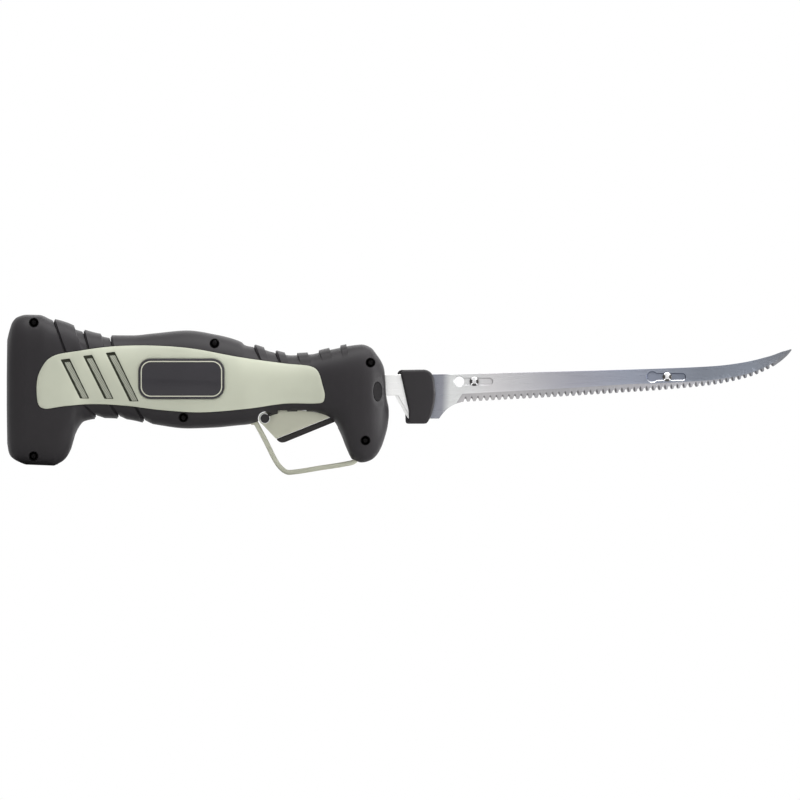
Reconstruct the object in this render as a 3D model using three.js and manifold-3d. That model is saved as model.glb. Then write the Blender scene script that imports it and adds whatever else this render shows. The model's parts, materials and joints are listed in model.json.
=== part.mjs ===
// Cordless electric fillet knife: a moulded handle in two shells, a motor with a worm drive inside it,
// and a pair of serrated blades that saw in opposite directions.
// Millimetres. X runs forward along the blades from the nose of the handle, Y runs across the knife,
// and Z runs up from the underside of the trigger guard. The right side faces -Y.
// The whole knife is turned a little at the end, so that it stands on its heel and its guard.

import * as THREE from 'three';
import { mergeVertices } from 'three/addons/utils/BufferGeometryUtils.js';
import Module from 'manifold-3d';

const wasm = await Module();
wasm.setup();

// Clearances
const fit = 0.3;
const touch = 0.1;
const slideFit = 0.35;

// Standing pose of the knife: the heel sits a little higher than the guard in the working frame
const standAngle = THREE.MathUtils.degToRad(2.2);

// Handle: wall of the shells, depth of the panel seat and how far the panel stands proud
const wall = 2.6;
const seamGap = 0.1;
const panelDepth = 1.5;
const panelProud = 0.35;
const plateDepth = 0.5;
const plateProud = 0.8;

// Power train along the handle, from the front: motor, room for its tags, lying cells, board, standing cell
const motorRadius = 12;
const motorFront = -76;
const motorLength = 33.5;
const motorRear = motorFront - motorLength;
const tagRoom = 8.5;
const cellRadius = 9.2;
const cellLength = 65;
const cellFront = motorRear - tagRoom;
const cellRear = cellFront - cellLength;
const boardRoom = 9.8;
const heelCell = { x: cellRear - boardRoom - cellRadius, z: 49.3 };
const heelLine = cellRear - 6.5;

// Places along the grip are drawn for this heel line, and spread back with it for a longer power train
const drawnHeel = -189.5;
function spread(x) {
  if (x <= drawnHeel) {
    return x + heelLine - drawnHeel;
  }
  const stretch = (heelLine - motorFront) / (drawnHeel - motorFront);
  return x >= motorFront ? x : motorFront + (x - motorFront) * stretch;
}

// Each row of the handle: x, height of the back, height of the belly, half width, squareness
const handleRows = [
  [-216.2, 77, 18, 13, 3.2],
  [-215.2, 81.4, 12.4, 17, 3.4],
  [-213.2, 87.2, 9.7, 19.4, 3.6],
  [-210.2, 90.1, 7.8, 21, 3.7],
  [-205, 91.4, 5.8, 22, 3.8],
  [-197, 91.2, 4.7, 22.2, 3.8],
  [-191, 89.4, 4.9, 22, 3.6],
  [-187, 88.5, 6.5, 21.8, 3.5],
  [-183.5, 87.5, 8.8, 21.5, 3.4],
  [-180, 86.2, 14.2, 21, 3.2],
  [-176.6, 84.6, 25, 20.6, 3],
  [-172, 82.9, 30.8, 20.2, 2.8],
  [-164, 80.8, 32.4, 19.7, 2.6],
  [-156, 79.7, 32.5, 19.4, 2.5],
  [-145, 79.6, 31.3, 19.5, 2.5],
  [-132, 80.8, 28.8, 20.4, 2.5],
  [-113.4, 82.4, 26.5, 21.9, 2.5],
  [-98, 80.2, 27, 22, 2.5],
  [-83, 76, 28.4, 21, 2.5],
  [-80.5, 73.9, 28.6, 20.8, 2.5],
  [-74, 72.6, 29.8, 20.2, 2.5],
  [-66, 70.3, 33.2, 19.4, 2.5],
  [-55, 68.2, 35.6, 18.5, 2.5],
  [-43, 68.8, 35.6, 18.3, 2.5],
  [-35, 70.7, 33.6, 18.8, 2.5],
  [-30, 71.8, 30.2, 19.2, 2.6],
  [-26.2, 72.6, 23.7, 19.6, 2.7],
  [-22.8, 73.3, 15.1, 19.9, 2.9],
  [-19.4, 73.9, 8.8, 20, 3],
  [-14, 74.4, 7.1, 19.6, 3],
  [-9, 72.7, 8.4, 18.4, 3],
  [-5.5, 68.5, 11.4, 16.6, 3],
  [-2.6, 64, 16.6, 14.4, 3],
  [-1, 58.9, 21.3, 12.4, 3],
  [-0.2, 46, 24, 10.8, 2.8],
  [0.5, 41.9, 26.8, 9.6, 2.6],
  [1.1, 39.4, 31, 8.2, 2.6],
].map(([x, ...section]) => [spread(x), ...section]);

// Screws that close the handle, and how far their heads sit from the middle plane
const screwRadius = 1.4;
const screwHeadRadius = 2.2;
const screwHeadHeight = 1.6;
const screwLength = 16;
const bossRadius = 3.8;
const recessRadius = 2.8;
const screwSeat = 10.2;
const caseScrews = [
  { name: 'heel_top_screw', x: spread(-201), z: 86.9 },
  { name: 'heel_bottom_screw', x: spread(-201.2), z: 10.8 },
  { name: 'grip_lower_screw', x: spread(-115.7), z: 32.8 },
  { name: 'grip_upper_screw', x: spread(-98), z: 75 },
  { name: 'head_upper_screw', x: -9.1, z: 64.1 },
  { name: 'head_lower_screw', x: -12, z: 19.7 },
];

// Trigger: turns about the pivot boss at its rear
const pivot = { x: -69.3, z: 32.2 };
const pivotBossRadius = 2.55;
const pivotLobeRadius = 2.65;
const pivotSeat = 6.9;
const triggerHalf = 6.4;
const triggerEye = 3.5;
const eyeRim = triggerEye - pivotLobeRadius - 0.3;
const eyeOut = 9.6;
const triggerTop = 37;
const bayHalf = triggerHalf + 0.5;

// Guard strap
const guardHalf = 5.2;
const guardThickness = 2.8;

// Drive: worm, gear with two eccentrics, and the yokes that carry the blades
const shaftZ = 47;
const shaftRadius = 1.5;
const module = 0.75;
const wormStarts = 2;
const gearTeeth = 20;
const wormPitchRadius = 3.5;
const gearPitchRadius = module * gearTeeth / 2;
const wormLead = wormStarts * Math.PI * module;
const gear = { x: -28, z: shaftZ + wormPitchRadius + gearPitchRadius };
const gearHalf = 3;
const wormLength = 12;
const axleRadius = 1.6;
const throwRadius = 3.2;
const camRadius = throwRadius + axleRadius + 1.2;
const hubRadius = 5;
const restCrank = THREE.MathUtils.degToRad(18);
const restShift = throwRadius * Math.sin(restCrank);
const yokeIn = 4.9;
const yokeOut = 8.4;
const frameIn = yokeOut + fit;
const frameOut = frameIn + 2;
const frameFloor = 40.6;

// Blades
const bladeGap = 0.1;
const bladeThickness = 0.95;
const bladeOut = bladeGap + bladeThickness;
const bladeLength = 203;
const collarFront = 26.9;
const tipX = collarFront + bladeLength;
function alongBlade(share) {
  return collarFront + share * bladeLength;
}
const tangTop = 57.3;
const tangBottom = 45.3;
const tangRear = -14.4;
const ricassoBottom = 32.2;
const toothPitch = 3.55;
const toothDepth = 1.7;
const rivetShank = 1.4;
const rivetHead = 2.6;
const slotHalf = rivetShank + 0.35;
const slotReach = 6.6;
const keyholeBack = 10.5;
const keyholeRadius = 2.85;
const rearSlot = { x: collarFront + 24.1, z: 53.3 };
const frontSlot = { x: alongBlade(0.6606), z: 55.9 };
const collarHalf = 7.6;

// Cells, board and socket
const upperCellZ = 64.9;
const lowerCellZ = upperCellZ - 2 * cellRadius - 0.2;
const boardThickness = 1.6;
const boardRear = heelCell.x + cellRadius + 1.1;
const boardFront = boardRear + boardThickness;
const socket = { x: cellRear - 8.6, radius: 4.2, bore: 2.8, pin: 1, height: 9.6 };

const knife = new THREE.Group();
knife.name = 'electric_fillet_knife';

// Solids from three.js shapes, so that they can be joined and cut; faces are turned to look outward
function toSolid(geometry) {
  const bare = geometry.index ? geometry.toNonIndexed() : geometry.clone();
  bare.deleteAttribute('normal');
  bare.deleteAttribute('uv');
  const merged = mergeVertices(bare, 1e-4);
  const corners = merged.index.array;
  const point = (i) => new THREE.Vector3().fromBufferAttribute(merged.attributes.position, i);
  const kept = [];
  let volume = 0;
  for (let i = 0; i < corners.length; i += 3) {
    const [a, b, c] = [corners[i], corners[i + 1], corners[i + 2]];
    if (a !== b && b !== c && c !== a) {
      kept.push(a, b, c);
      volume += point(a).dot(point(b).cross(point(c)));
    }
  }
  const vertProperties = new Float32Array(merged.attributes.position.array);
  const triVerts = new Uint32Array(volume < 0 ? kept.reverse() : kept);
  return new wasm.Manifold(new wasm.Mesh({ numProp: 3, vertProperties, triVerts }));
}

function toGeometry(solid) {
  const mesh = solid.getMesh();
  const geometry = new THREE.BufferGeometry();
  geometry.setAttribute('position', new THREE.BufferAttribute(new Float32Array(mesh.vertProperties), 3));
  geometry.setIndex(new THREE.BufferAttribute(new Uint32Array(mesh.triVerts), 1));
  const flat = geometry.toNonIndexed();
  flat.computeVertexNormals();
  return flat;
}

function finish(color, roughness, metalness = 0) {
  return { color, roughness, metalness };
}

const rubber = finish(0x3a383c, 0.75);
const sage = finish(0xb9bca4, 0.6);
const paleTrim = finish(0xb0b29f, 0.55);
const blackPlastic = finish(0x2a2a2d, 0.5);
const steel = finish(0xa4a6ab, 0.3, 1);
const zinc = finish(0x8f9296, 0.4, 1);
const nylon = finish(0xd8d6cc, 0.6);
const brass = finish(0xb08d45, 0.35, 1);

function piece(name, shape, look) {
  const geometry = shape.isBufferGeometry ? shape : toGeometry(shape);
  const mesh = new THREE.Mesh(geometry, new THREE.MeshStandardMaterial(look));
  mesh.name = name;
  knife.add(mesh);
}

function box(x0, x1, y0, y1, z0, z1) {
  const shape = new THREE.BoxGeometry(x1 - x0, y1 - y0, z1 - z0);
  return toSolid(shape.translate((x0 + x1) / 2, (y0 + y1) / 2, (z0 + z1) / 2));
}

// Round bars along each axis
function rodY(x, z, radius, y0, y1, sides = 12) {
  const shape = new THREE.CylinderGeometry(radius, radius, y1 - y0, sides);
  return toSolid(shape.translate(x, (y0 + y1) / 2, z));
}

function rodX(y, z, radius, x0, x1, sides = 16) {
  const shape = new THREE.CylinderGeometry(radius, radius, x1 - x0, sides);
  return toSolid(shape.rotateZ(Math.PI / 2).translate((x0 + x1) / 2, y, z));
}

function rodZ(x, y, radius, z0, z1, sides = 16) {
  const shape = new THREE.CylinderGeometry(radius, radius, z1 - z0, sides);
  return toSolid(shape.rotateX(Math.PI / 2).translate(x, y, (z0 + z1) / 2));
}

// Side outlines [x, z] as flat bars between two values of y
function outline(points) {
  return new THREE.Shape(points.map(([x, z]) => new THREE.Vector2(x, z)));
}

function slab(shape, y0, y1) {
  const settings = { depth: y1 - y0, curveSegments: 4, bevelEnabled: false };
  const geometry = new THREE.ExtrudeGeometry(shape, settings);
  return toSolid(geometry.rotateX(Math.PI / 2).translate(0, y1, 0));
}

function curvePoints(points, steps, closed = false) {
  const curve = new THREE.CatmullRomCurve3(points.map(([x, z]) => new THREE.Vector3(x, 0, z)), closed);
  return curve.getPoints(steps).map((p) => [p.x, p.z]);
}

// A strip of even thickness that follows a side curve
function ribbon(line, half) {
  const upper = [];
  const lower = [];
  line.forEach(([x, z], i) => {
    const [xa, za] = line[Math.max(i - 1, 0)];
    const [xb, zb] = line[Math.min(i + 1, line.length - 1)];
    const run = Math.hypot(xb - xa, zb - za);
    const nx = -(zb - za) / run;
    const nz = (xb - xa) / run;
    upper.push([x + nx * half, z + nz * half]);
    lower.push([x - nx * half, z - nz * half]);
  });
  return outline([...lower, ...upper.reverse()]);
}

// A skin over rings of points, closed at both ends
function skin(rings) {
  const positions = [];
  const add = (...corners) => corners.forEach((p) => positions.push(p.x, p.y, p.z));
  const middle = (ring) => {
    const sum = new THREE.Vector3();
    ring.forEach((p) => sum.add(p));
    return sum.divideScalar(ring.length);
  };
  const count = rings[0].length;
  const [first, last] = [rings[0], rings[rings.length - 1]];
  const [start, end] = [middle(first), middle(last)];
  for (let j = 0; j < count; j += 1) {
    const k = (j + 1) % count;
    for (let i = 0; i + 1 < rings.length; i += 1) {
      add(rings[i][j], rings[i][k], rings[i + 1][k]);
      add(rings[i][j], rings[i + 1][k], rings[i + 1][j]);
    }
    add(start, first[k], first[j]);
    add(end, last[j], last[k]);
  }
  const geometry = new THREE.BufferGeometry();
  geometry.setAttribute('position', new THREE.Float32BufferAttribute(positions, 3));
  return toSolid(geometry);
}

// Smooth value of one column of the handle rows at x, without overshoot
function rowValue(column, x) {
  const rows = handleRows;
  const at = THREE.MathUtils.clamp(x, rows[0][0], rows[rows.length - 1][0]);
  let i = 0;
  while (i < rows.length - 2 && rows[i + 1][0] < at) {
    i += 1;
  }
  const slope = (k) => (rows[k + 1][column] - rows[k][column]) / (rows[k + 1][0] - rows[k][0]);
  const tangent = (k) => {
    if (k === 0 || k === rows.length - 1) {
      return slope(Math.min(k, rows.length - 2));
    }
    const [before, after] = [slope(k - 1), slope(k)];
    return before * after <= 0 ? 0 : 2 * before * after / (before + after);
  };
  const width = rows[i + 1][0] - rows[i][0];
  const t = (at - rows[i][0]) / width;
  const [a, b] = [rows[i][column], rows[i + 1][column]];
  const rise = (1 + 2 * t) * (1 - t) ** 2 * a + t * t * (3 - 2 * t) * b;
  return rise + width * (t * (1 - t) ** 2 * tangent(i) - t * t * (1 - t) * tangent(i + 1));
}

// The handle's section at x, grown or shrunk by an even amount
function sectionAt(x, grow) {
  const reach = Math.abs(grow);
  const sign = Math.sign(grow) || 1;
  const offset = (column, side) => {
    let best = Infinity;
    for (let k = 0; k <= 6; k += 1) {
      const turn = Math.PI * k / 6;
      const value = side * rowValue(column, x + reach * Math.cos(turn)) + sign * reach * Math.sin(turn);
      best = Math.min(best, -sign * value);
    }
    return -sign * best * side;
  };
  if (grow === 0) {
    return { top: rowValue(1, x), bottom: rowValue(2, x), half: rowValue(3, x), square: rowValue(4, x) };
  }
  return { top: offset(1, 1), bottom: offset(2, -1), half: offset(3, 1), square: rowValue(4, x) };
}

// Places for the rings: as few as keep the outline within a given slack of its true curve
function ringPlaces(slack) {
  const [rear, front] = [handleRows[0][0], handleRows[handleRows.length - 1][0]];
  const steps = 160;
  const xs = Array.from({ length: steps + 1 }, (_, i) => rear + (front - rear) * i / steps);
  const straight = (from, to) => [1, 2, 3].every((column) => {
    const [a, b] = [rowValue(column, xs[from]), rowValue(column, xs[to])];
    for (let k = from + 1; k < to; k += 1) {
      const line = a + (b - a) * (k - from) / (to - from);
      if (Math.abs(line - rowValue(column, xs[k])) > slack) {
        return false;
      }
    }
    return true;
  });
  const kept = [0];
  while (kept[kept.length - 1] < steps) {
    const from = kept[kept.length - 1];
    let to = from + 1;
    while (to < steps && straight(from, to + 1)) {
      to += 1;
    }
    kept.push(to);
  }
  return kept.map((k) => xs[k]);
}

// The handle as one body
function handleBody(grow, slack, around) {
  const [rear, front] = [handleRows[0][0], handleRows[handleRows.length - 1][0]];
  const middle = (rear + front) / 2;
  const stretch = 1 + 2 * grow / (front - rear);
  const places = ringPlaces(slack);
  const rings = places.map((place) => {
    const x = middle + (place - middle) * stretch;
    const { top, bottom, half, square } = sectionAt(x, grow);
    const ring = [];
    for (let k = 0; k < around; k += 1) {
      const turn = 2 * Math.PI * k / around;
      const [c, s] = [Math.cos(turn), Math.sin(turn)];
      const y = half * Math.sign(c) * Math.abs(c) ** (2 / square);
      const z = (top + bottom) / 2 + (top - bottom) / 2 * Math.sign(s) * Math.abs(s) ** (2 / square);
      ring.push(new THREE.Vector3(x, y, z));
    }
    return ring;
  });
  return skin(rings);
}

const fine = [0.45, 16];
const coarse = [1.1, 12];
const body = handleBody(0, ...fine);
const cavity = handleBody(-wall, ...coarse);
const ribLimit = handleBody(-1, ...coarse);
const panelFace = handleBody(panelProud, ...fine);
const panelBack = handleBody(panelProud - panelDepth, ...fine);
const panelSeat = handleBody(panelProud - panelDepth - fit, ...fine);

// Everything on one side of the middle plane
function sideOf(side, gap = seamGap) {
  const far = 60;
  return side < 0 ? box(-400, 400, -far, -gap, -60, 160) : box(-400, 400, gap, far, -60, 160);
}

// Guard: strap, root that hugs the belly of the handle, a foot caught behind the belly wall,
// and a front end hooked up into the head
const guardLine = curvePoints([
  [-74.9, 30.5],
  [-72.9, 26.9],
  [-69, 19.6],
  [-62.9, 7.6],
  [-60.3, 4.2],
  [-56.8, 1.7],
  [-52, 1.8],
  [-38, 4],
  [-24, 6.2],
  [-18.6, 7.6],
  [-16.2, 10.4],
  [-15.6, 13],
], 20);
const guardRoot = outline([[-81, 28], [-75, 33], [-73, 33], [-71.3, 27.5], [-73.4, 24.4], [-76.4, 27]]);
const guardStrap = slab(ribbon(guardLine, guardThickness / 2), -guardHalf, guardHalf);
const guardTab = box(-77.4, -74.4, -3.4, 3.4, 28.6, 34.2);
const guardFoot = box(-77.4, -74.4, -5.6, 5.6, 33, 34.2);
const guardSkirt = slab(guardRoot, -guardHalf, guardHalf).subtract(handleBody(fit, ...fine));
const guard = guardStrap.subtract(box(-78, -70, -9, 9, 30.9, 40))
  .add(guardSkirt)
  .add(guardTab)
  .add(guardFoot)
  .subtract(rodY(pivot.x, pivot.z, triggerEye + fit, -20, 20, 18));
const guardRoom = slab(ribbon(guardLine, guardThickness / 2 + fit), -guardHalf - fit, guardHalf + fit)
  .add(box(-77.4 - fit, -74.4 + fit, -3.4 - fit, 3.4 + fit, 26, 36))
  .add(box(-77.4 - fit, -74.4 + fit, -5.6 - fit, 5.6 + fit, 33 - fit, 36));

// Base plane of the standing knife: it touches the lowest point of the guard's bend
const lowest = Math.min(...guardLine.map(([x, z]) => x * Math.sin(standAngle) + z * Math.cos(standAngle)));
const baseDrop = lowest - guardThickness / 2;
const baseShape = new THREE.BoxGeometry(700, 200, 60).translate(0, 0, baseDrop - 30).rotateY(standAngle);
const underBase = toSolid(baseShape);
function baseHeight(x) {
  return (baseDrop - x * Math.sin(standAngle)) / Math.cos(standAngle);
}

// Grip panels
const panelOutline = outline(curvePoints([
  [-199.5, 48.5],
  [-198.6, 56.5],
  [-194.2, 64.6],
  [-189.5, 68],
  [-174.5, 70.9],
  [-156, 73.3],
  [-134, 73.8],
  [-111, 72.1],
  [-84, 67.2],
  [-58, 63.6],
  [-42.5, 61.7],
  [-39.2, 59.2],
  [-36.4, 51],
  [-35.2, 45.2],
  [-36.2, 41.6],
  [-40, 40.8],
  [-57.5, 40.7],
  [-78, 37.9],
  [-106, 35.7],
  [-128, 37],
  [-150, 39.6],
  [-168, 40.4],
  [-184, 39.2],
  [-195.4, 37.9],
  [-198.2, 39.8],
].map(([x, z]) => [spread(x), z]), 40, true));

// The same outline a little larger, for the seat in the shell
function grownOutline(shape, grow) {
  const points = shape.getPoints();
  const ring = points.slice(0, points[0].distanceTo(points[points.length - 1]) < 1e-6 ? -1 : undefined);
  const turn = THREE.ShapeUtils.area(ring) > 0 ? 1 : -1;
  return outline(ring.map((p, i) => {
    const before = ring[(i + ring.length - 1) % ring.length];
    const after = ring[(i + 1) % ring.length];
    const run = after.clone().sub(before).normalize();
    return [p.x + turn * run.y * grow, p.y - turn * run.x * grow];
  }));
}

// Three slanted pockets in each panel, and the bare name plate on the right one
const pocketDepth = 0.9;
const pocketWidth = 5.2;
const pockets = [
  { top: [spread(-183.2), 66], bottom: [spread(-172.1), 43.6] },
  { top: [spread(-170.4), 68.2], bottom: [spread(-158.2), 43.4] },
  { top: [spread(-157.5), 69.8], bottom: [spread(-143.9), 42] },
];
const plateCentre = { x: spread(-116.9), z: 54.8 };
const plateSize = { x: 49, z: 23, corner: 7 };

function plateOutline(grow) {
  const [hx, hz, r] = [plateSize.x / 2 + grow, plateSize.z / 2 + grow, plateSize.corner + grow];
  const shape = new THREE.Shape();
  const { x, z } = plateCentre;
  shape.absarc(x + hx - r, z + hz - r, r, 0, Math.PI / 2);
  shape.absarc(x - hx + r, z + hz - r, r, Math.PI / 2, Math.PI);
  shape.absarc(x - hx + r, z - hz + r, r, Math.PI, 1.5 * Math.PI);
  shape.absarc(x + hx - r, z - hz + r, r, 1.5 * Math.PI, 2 * Math.PI);
  return shape;
}

const panelRoom = slab(grownOutline(panelOutline, fit), -40, 40).subtract(panelSeat);
const pocketFloor = handleBody(panelProud - pocketDepth, ...fine);
const plateFloor = handleBody(plateProud - plateDepth - fit, ...fine);

function buildPanel(side) {
  let panel = slab(panelOutline, -40, 40)
    .intersect(panelFace)
    .subtract(panelBack)
    .intersect(sideOf(side, 2));
  for (const { top, bottom } of pockets) {
    const [half, [xt, zt], [xb, zb]] = [pocketWidth / 2, top, bottom];
    const shape = outline([[xt - half, zt - 0.3], [xb - half, zb], [xb + half, zb], [xt + half, zt + 0.3]]);
    panel = panel.subtract(slab(shape, -40, 40).subtract(pocketFloor));
  }
  return panel;
}

// Release buttons in the sides of the nose
const button = { x: -5, z: 47.6, halfX: 2.5, halfZ: 5.6, inner: 11.2 };
function buttonOutline(grow) {
  const shape = new THREE.Shape();
  shape.absellipse(button.x, button.z, button.halfX + grow, button.halfZ + grow, 0, 2 * Math.PI);
  return shape;
}

// Rib steps over the back and under the belly: each cut ramps up to a sharp edge that leans forward
const lean = 0.42;
const backSteps = [
  { x: spread(-189.6), depth: 1.2, run: 3.4 },
  { x: spread(-172.6), depth: 1.7, run: 5.6 },
  { x: spread(-157.2), depth: 1.1, run: 6 },
];
const bellySteps = [
  { x: spread(-165.6), depth: 1.7, run: 5 },
  { x: spread(-152.7), depth: 1.5, run: 4.6 },
  { x: spread(-138.2), depth: 1.5, run: 5 },
];
const neckRibs = [
  { x: -72.6, width: 5.6 },
  { x: -60.6, width: 5.2 },
  { x: -48, width: 6 },
  { x: -35.6, width: 6 },
  { x: -24.6, width: 3.4 },
];
const neckRibHeight = 1.5;
const neckRibReach = 5;

function rampCut(x, z, depth, run, up) {
  const rise = up * 6;
  const far = x - up * run;
  return slab(outline([[x, z - up * depth], [far, z], [far, z + rise], [x, z + rise]]), -40, 40);
}

function buildShell(side) {
  const half = sideOf(side);
  const inside = ribLimit.intersect(half);
  let shell = body.subtract(cavity).intersect(half);
  const across = (near, far) => (side < 0 ? [-far, -near] : [near, far]);
  const add = (solid) => {
    shell = shell.add(solid);
  };
  const cut = (solid) => {
    shell = shell.subtract(solid);
  };

  // Steps in the back, the belly and the neck
  for (const { x, depth, run } of backSteps) {
    cut(rampCut(x, rowValue(1, x), depth, run, 1));
  }
  for (const { x, depth, run } of bellySteps) {
    cut(rampCut(x, rowValue(2, x), depth, run, -1));
  }
  const neckBody = handleBody(neckRibHeight, ...fine).subtract(ribLimit).intersect(half);
  for (const { x, width } of neckRibs) {
    const base = rowValue(1, x);
    const foot = base - neckRibReach;
    const [topShift, footShift] = [-2 * lean, neckRibReach * lean];
    const band = outline([
      [x - width / 2 + footShift, foot],
      [x + width / 2 + footShift, foot],
      [x + width / 2 + topShift, base + 3],
      [x - width / 2 + topShift, base + 3],
    ]);
    add(slab(band, -40, 40).intersect(neckBody));
  }

  // Seats for the motor, the lying cells and the standing cell
  const motorRoom = rodX(0, shaftZ, motorRadius + fit + 0.6, motorRear - 30, motorFront + 16, 10);
  const leadRoom = box(motorRear - 30, motorFront + 16, -12.8, 12.8, shaftZ - 11, shaftZ - 7);
  for (const x of [motorRear + 4.5, motorFront - 5]) {
    add(box(x - 1.2, x + 1.2, -40, 40, 0, 120).intersect(inside).subtract(motorRoom).subtract(leadRoom));
  }
  const cellSpan = [cellRear - 17, cellFront + 18];
  const cellRoom = rodX(0, upperCellZ, cellRadius + fit + 0.5, ...cellSpan, 10)
    .add(rodX(0, lowerCellZ, cellRadius + fit + 0.5, ...cellSpan, 10))
    .add(box(...cellSpan, -8, 8, lowerCellZ, upperCellZ));
  for (const x of [cellRear + 12, cellFront - 9]) {
    add(box(x - 1.2, x + 1.2, -40, 40, 0, 120).intersect(inside).subtract(cellRoom));
  }
  const heelRoom = rodZ(heelCell.x, 0, cellRadius + fit + 0.5, 0, 120, 10);
  const heelRib = box(heelCell.x - 18, heelCell.x + 10, -40, 40, heelCell.z - 1.2, heelCell.z + 1.2);
  add(heelRib.intersect(inside).subtract(heelRoom));

  // Pads that hold the gear frame, the switch, the spring and the button springs
  for (const x of [gear.x - 8, gear.x + 4]) {
    const [y0, y1] = across(frameOut + fit, 40);
    add(box(x - 1.2, x + 1.2, y0, y1, 44, 62).intersect(inside));
  }
  if (side > 0) {
    for (const x of [-57, -47]) {
      add(box(x - 1.2, x + 1.2, 9.4, 40, 41.5, 50).intersect(inside));
    }
  } else {
    add(box(-49.5, -40.5, -40, -1.8, 43, 44.8).intersect(inside));
  }
  const [padIn, padOut] = across(11.2, 40);
  add(box(-17.2, -14, padIn, padOut, 43, 52).intersect(inside));

  // Screw bosses
  for (const { x, z } of caseScrews) {
    const [y0, y1] = across(seamGap, 40);
    add(rodY(x, z, bossRadius, y0, y1, 7).intersect(inside));
  }
  cut(panelRoom);

  // Room for the trigger, the pivot boss that carries it, and the teeth along the edge above it
  cut(slab(outline([
    [-74, 12],
    [-74, 36.2],
    [-66, 40.6],
    [-38, 40.8],
    [-28, 39.8],
    [-26.6, 33],
    [-27.6, 27.4],
    [-32, 12],
  ]), -bayHalf, bayHalf));
  for (const x of [-59.2, -48.2]) {
    const [y0, y1] = across(bayHalf - 1, 16);
    cut(box(x - 2.7, x + 2.7, y0, y1, 30, 36.9));
  }
  // The trigger's eye shows round the boss, and a bridge ahead of the eye carries the boss's lobe
  const [roomIn, roomOut] = across(bayHalf - touch, 16);
  const bridge = box(pivot.x + 1.5, pivot.x + 7, roomIn, roomOut, pivot.z + 0.4, pivot.z + 2.6);
  cut(rodY(pivot.x, pivot.z, triggerEye + fit + touch, roomIn, roomOut, 18).subtract(bridge));
  const [sleeveIn, sleeveOut] = across(seamGap, bayHalf + 0.4);
  const [lobeIn, lobeOut] = across(bayHalf, bayHalf + 3.4);
  add(rodY(pivot.x, pivot.z, pivotBossRadius, sleeveIn, sleeveOut, 14));
  add(rodY(pivot.x, pivot.z, pivotLobeRadius, lobeIn, lobeOut, 14));

  // Screw holes: heads and plain holes on the right, threaded ends on the left
  for (const { x, z } of caseScrews) {
    if (side < 0) {
      cut(rodY(x, z, recessRadius, -40, -screwSeat + touch, 8));
      cut(rodY(x, z, screwRadius + fit, -20, 0, 6));
    } else {
      cut(rodY(x, z, screwRadius + 0.35, 0, screwLength - screwSeat + fit, 6));
    }
  }
  if (side > 0) {
    cut(rodY(pivot.x, pivot.z, screwHeadRadius + 0.15, pivotSeat + 1 - touch, 40, 14));
    cut(rodY(pivot.x, pivot.z, screwRadius + 0.2, 0, 20, 8));
  } else {
    cut(rodY(pivot.x, pivot.z, screwRadius + 0.2, -screwLength + pivotSeat + 1 - fit, 0, 8));
  }

  // Openings: blade slot in the nose, button, charge socket, guard ends, and the flat under the heel
  cut(box(-6, 4, -2.3, 2.3, tangBottom - 0.9, tangTop + 0.9));
  const [buttonIn, buttonOut] = across(8, 40);
  cut(slab(buttonOutline(fit), buttonIn, buttonOut));
  cut(rodZ(socket.x, 0, socket.radius + fit, -10, 30, 12));
  cut(guardRoom);
  cut(underBase);
  return shell;
}

piece('right_shell', buildShell(-1), rubber);
piece('left_shell', buildShell(1), rubber);
const plateRoom = slab(plateOutline(fit), -40, 0).subtract(plateFloor);
piece('right_grip_panel', buildPanel(-1).subtract(plateRoom), sage);
piece('left_grip_panel', buildPanel(1), sage);
const plate = slab(plateOutline(0), -40, 0).intersect(handleBody(plateProud, ...fine))
  .subtract(handleBody(plateProud - plateDepth, ...fine));
piece('name_plate', plate, blackPlastic);
piece('trigger_guard', guard, paleTrim);

// Screws
function screwGeometry(x, z, seat, side = -1) {
  const profile = [
    [0, screwLength - 0.6],
    [screwRadius, screwLength - 2],
    [screwRadius, 0],
    [screwHeadRadius, 0],
    [screwHeadRadius, -screwHeadHeight * 0.5],
    [screwHeadRadius * 0.6, -screwHeadHeight],
    [0, -screwHeadHeight],
  ];
  const shape = new THREE.LatheGeometry(profile.map(([r, y]) => new THREE.Vector2(r, y)), 7);
  return toSolid(shape.rotateZ(side < 0 ? 0 : Math.PI).translate(x, side * seat, z));
}
for (const { name, x, z } of caseScrews) {
  piece(name, screwGeometry(x, z, screwSeat), zinc);
}
piece('trigger_screw', screwGeometry(pivot.x, pivot.z, pivotSeat + 1, 1), zinc);

// Trigger with an eye round the pivot boss, and its finger pad
const padLine = { rear: [-63, 20.6], front: [-32.2, 32.9] };
const padDrop = touch;
const triggerBody = slab(outline([
  [-72.3, 30.4],
  padLine.rear,
  padLine.front,
  [-33.4, 34.4],
  [-38, 35.4],
  [-44, 36.5],
  [-50, triggerTop],
  [-66, triggerTop],
  [-69.3, pivot.z + triggerEye],
]), -triggerHalf, triggerHalf);
const triggerHollow = slab(outline([
  [-63, 40], [-62, 23.5], [-40, 32.2], [-40, 40],
]), -triggerHalf + 2, triggerHalf - 2);
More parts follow.
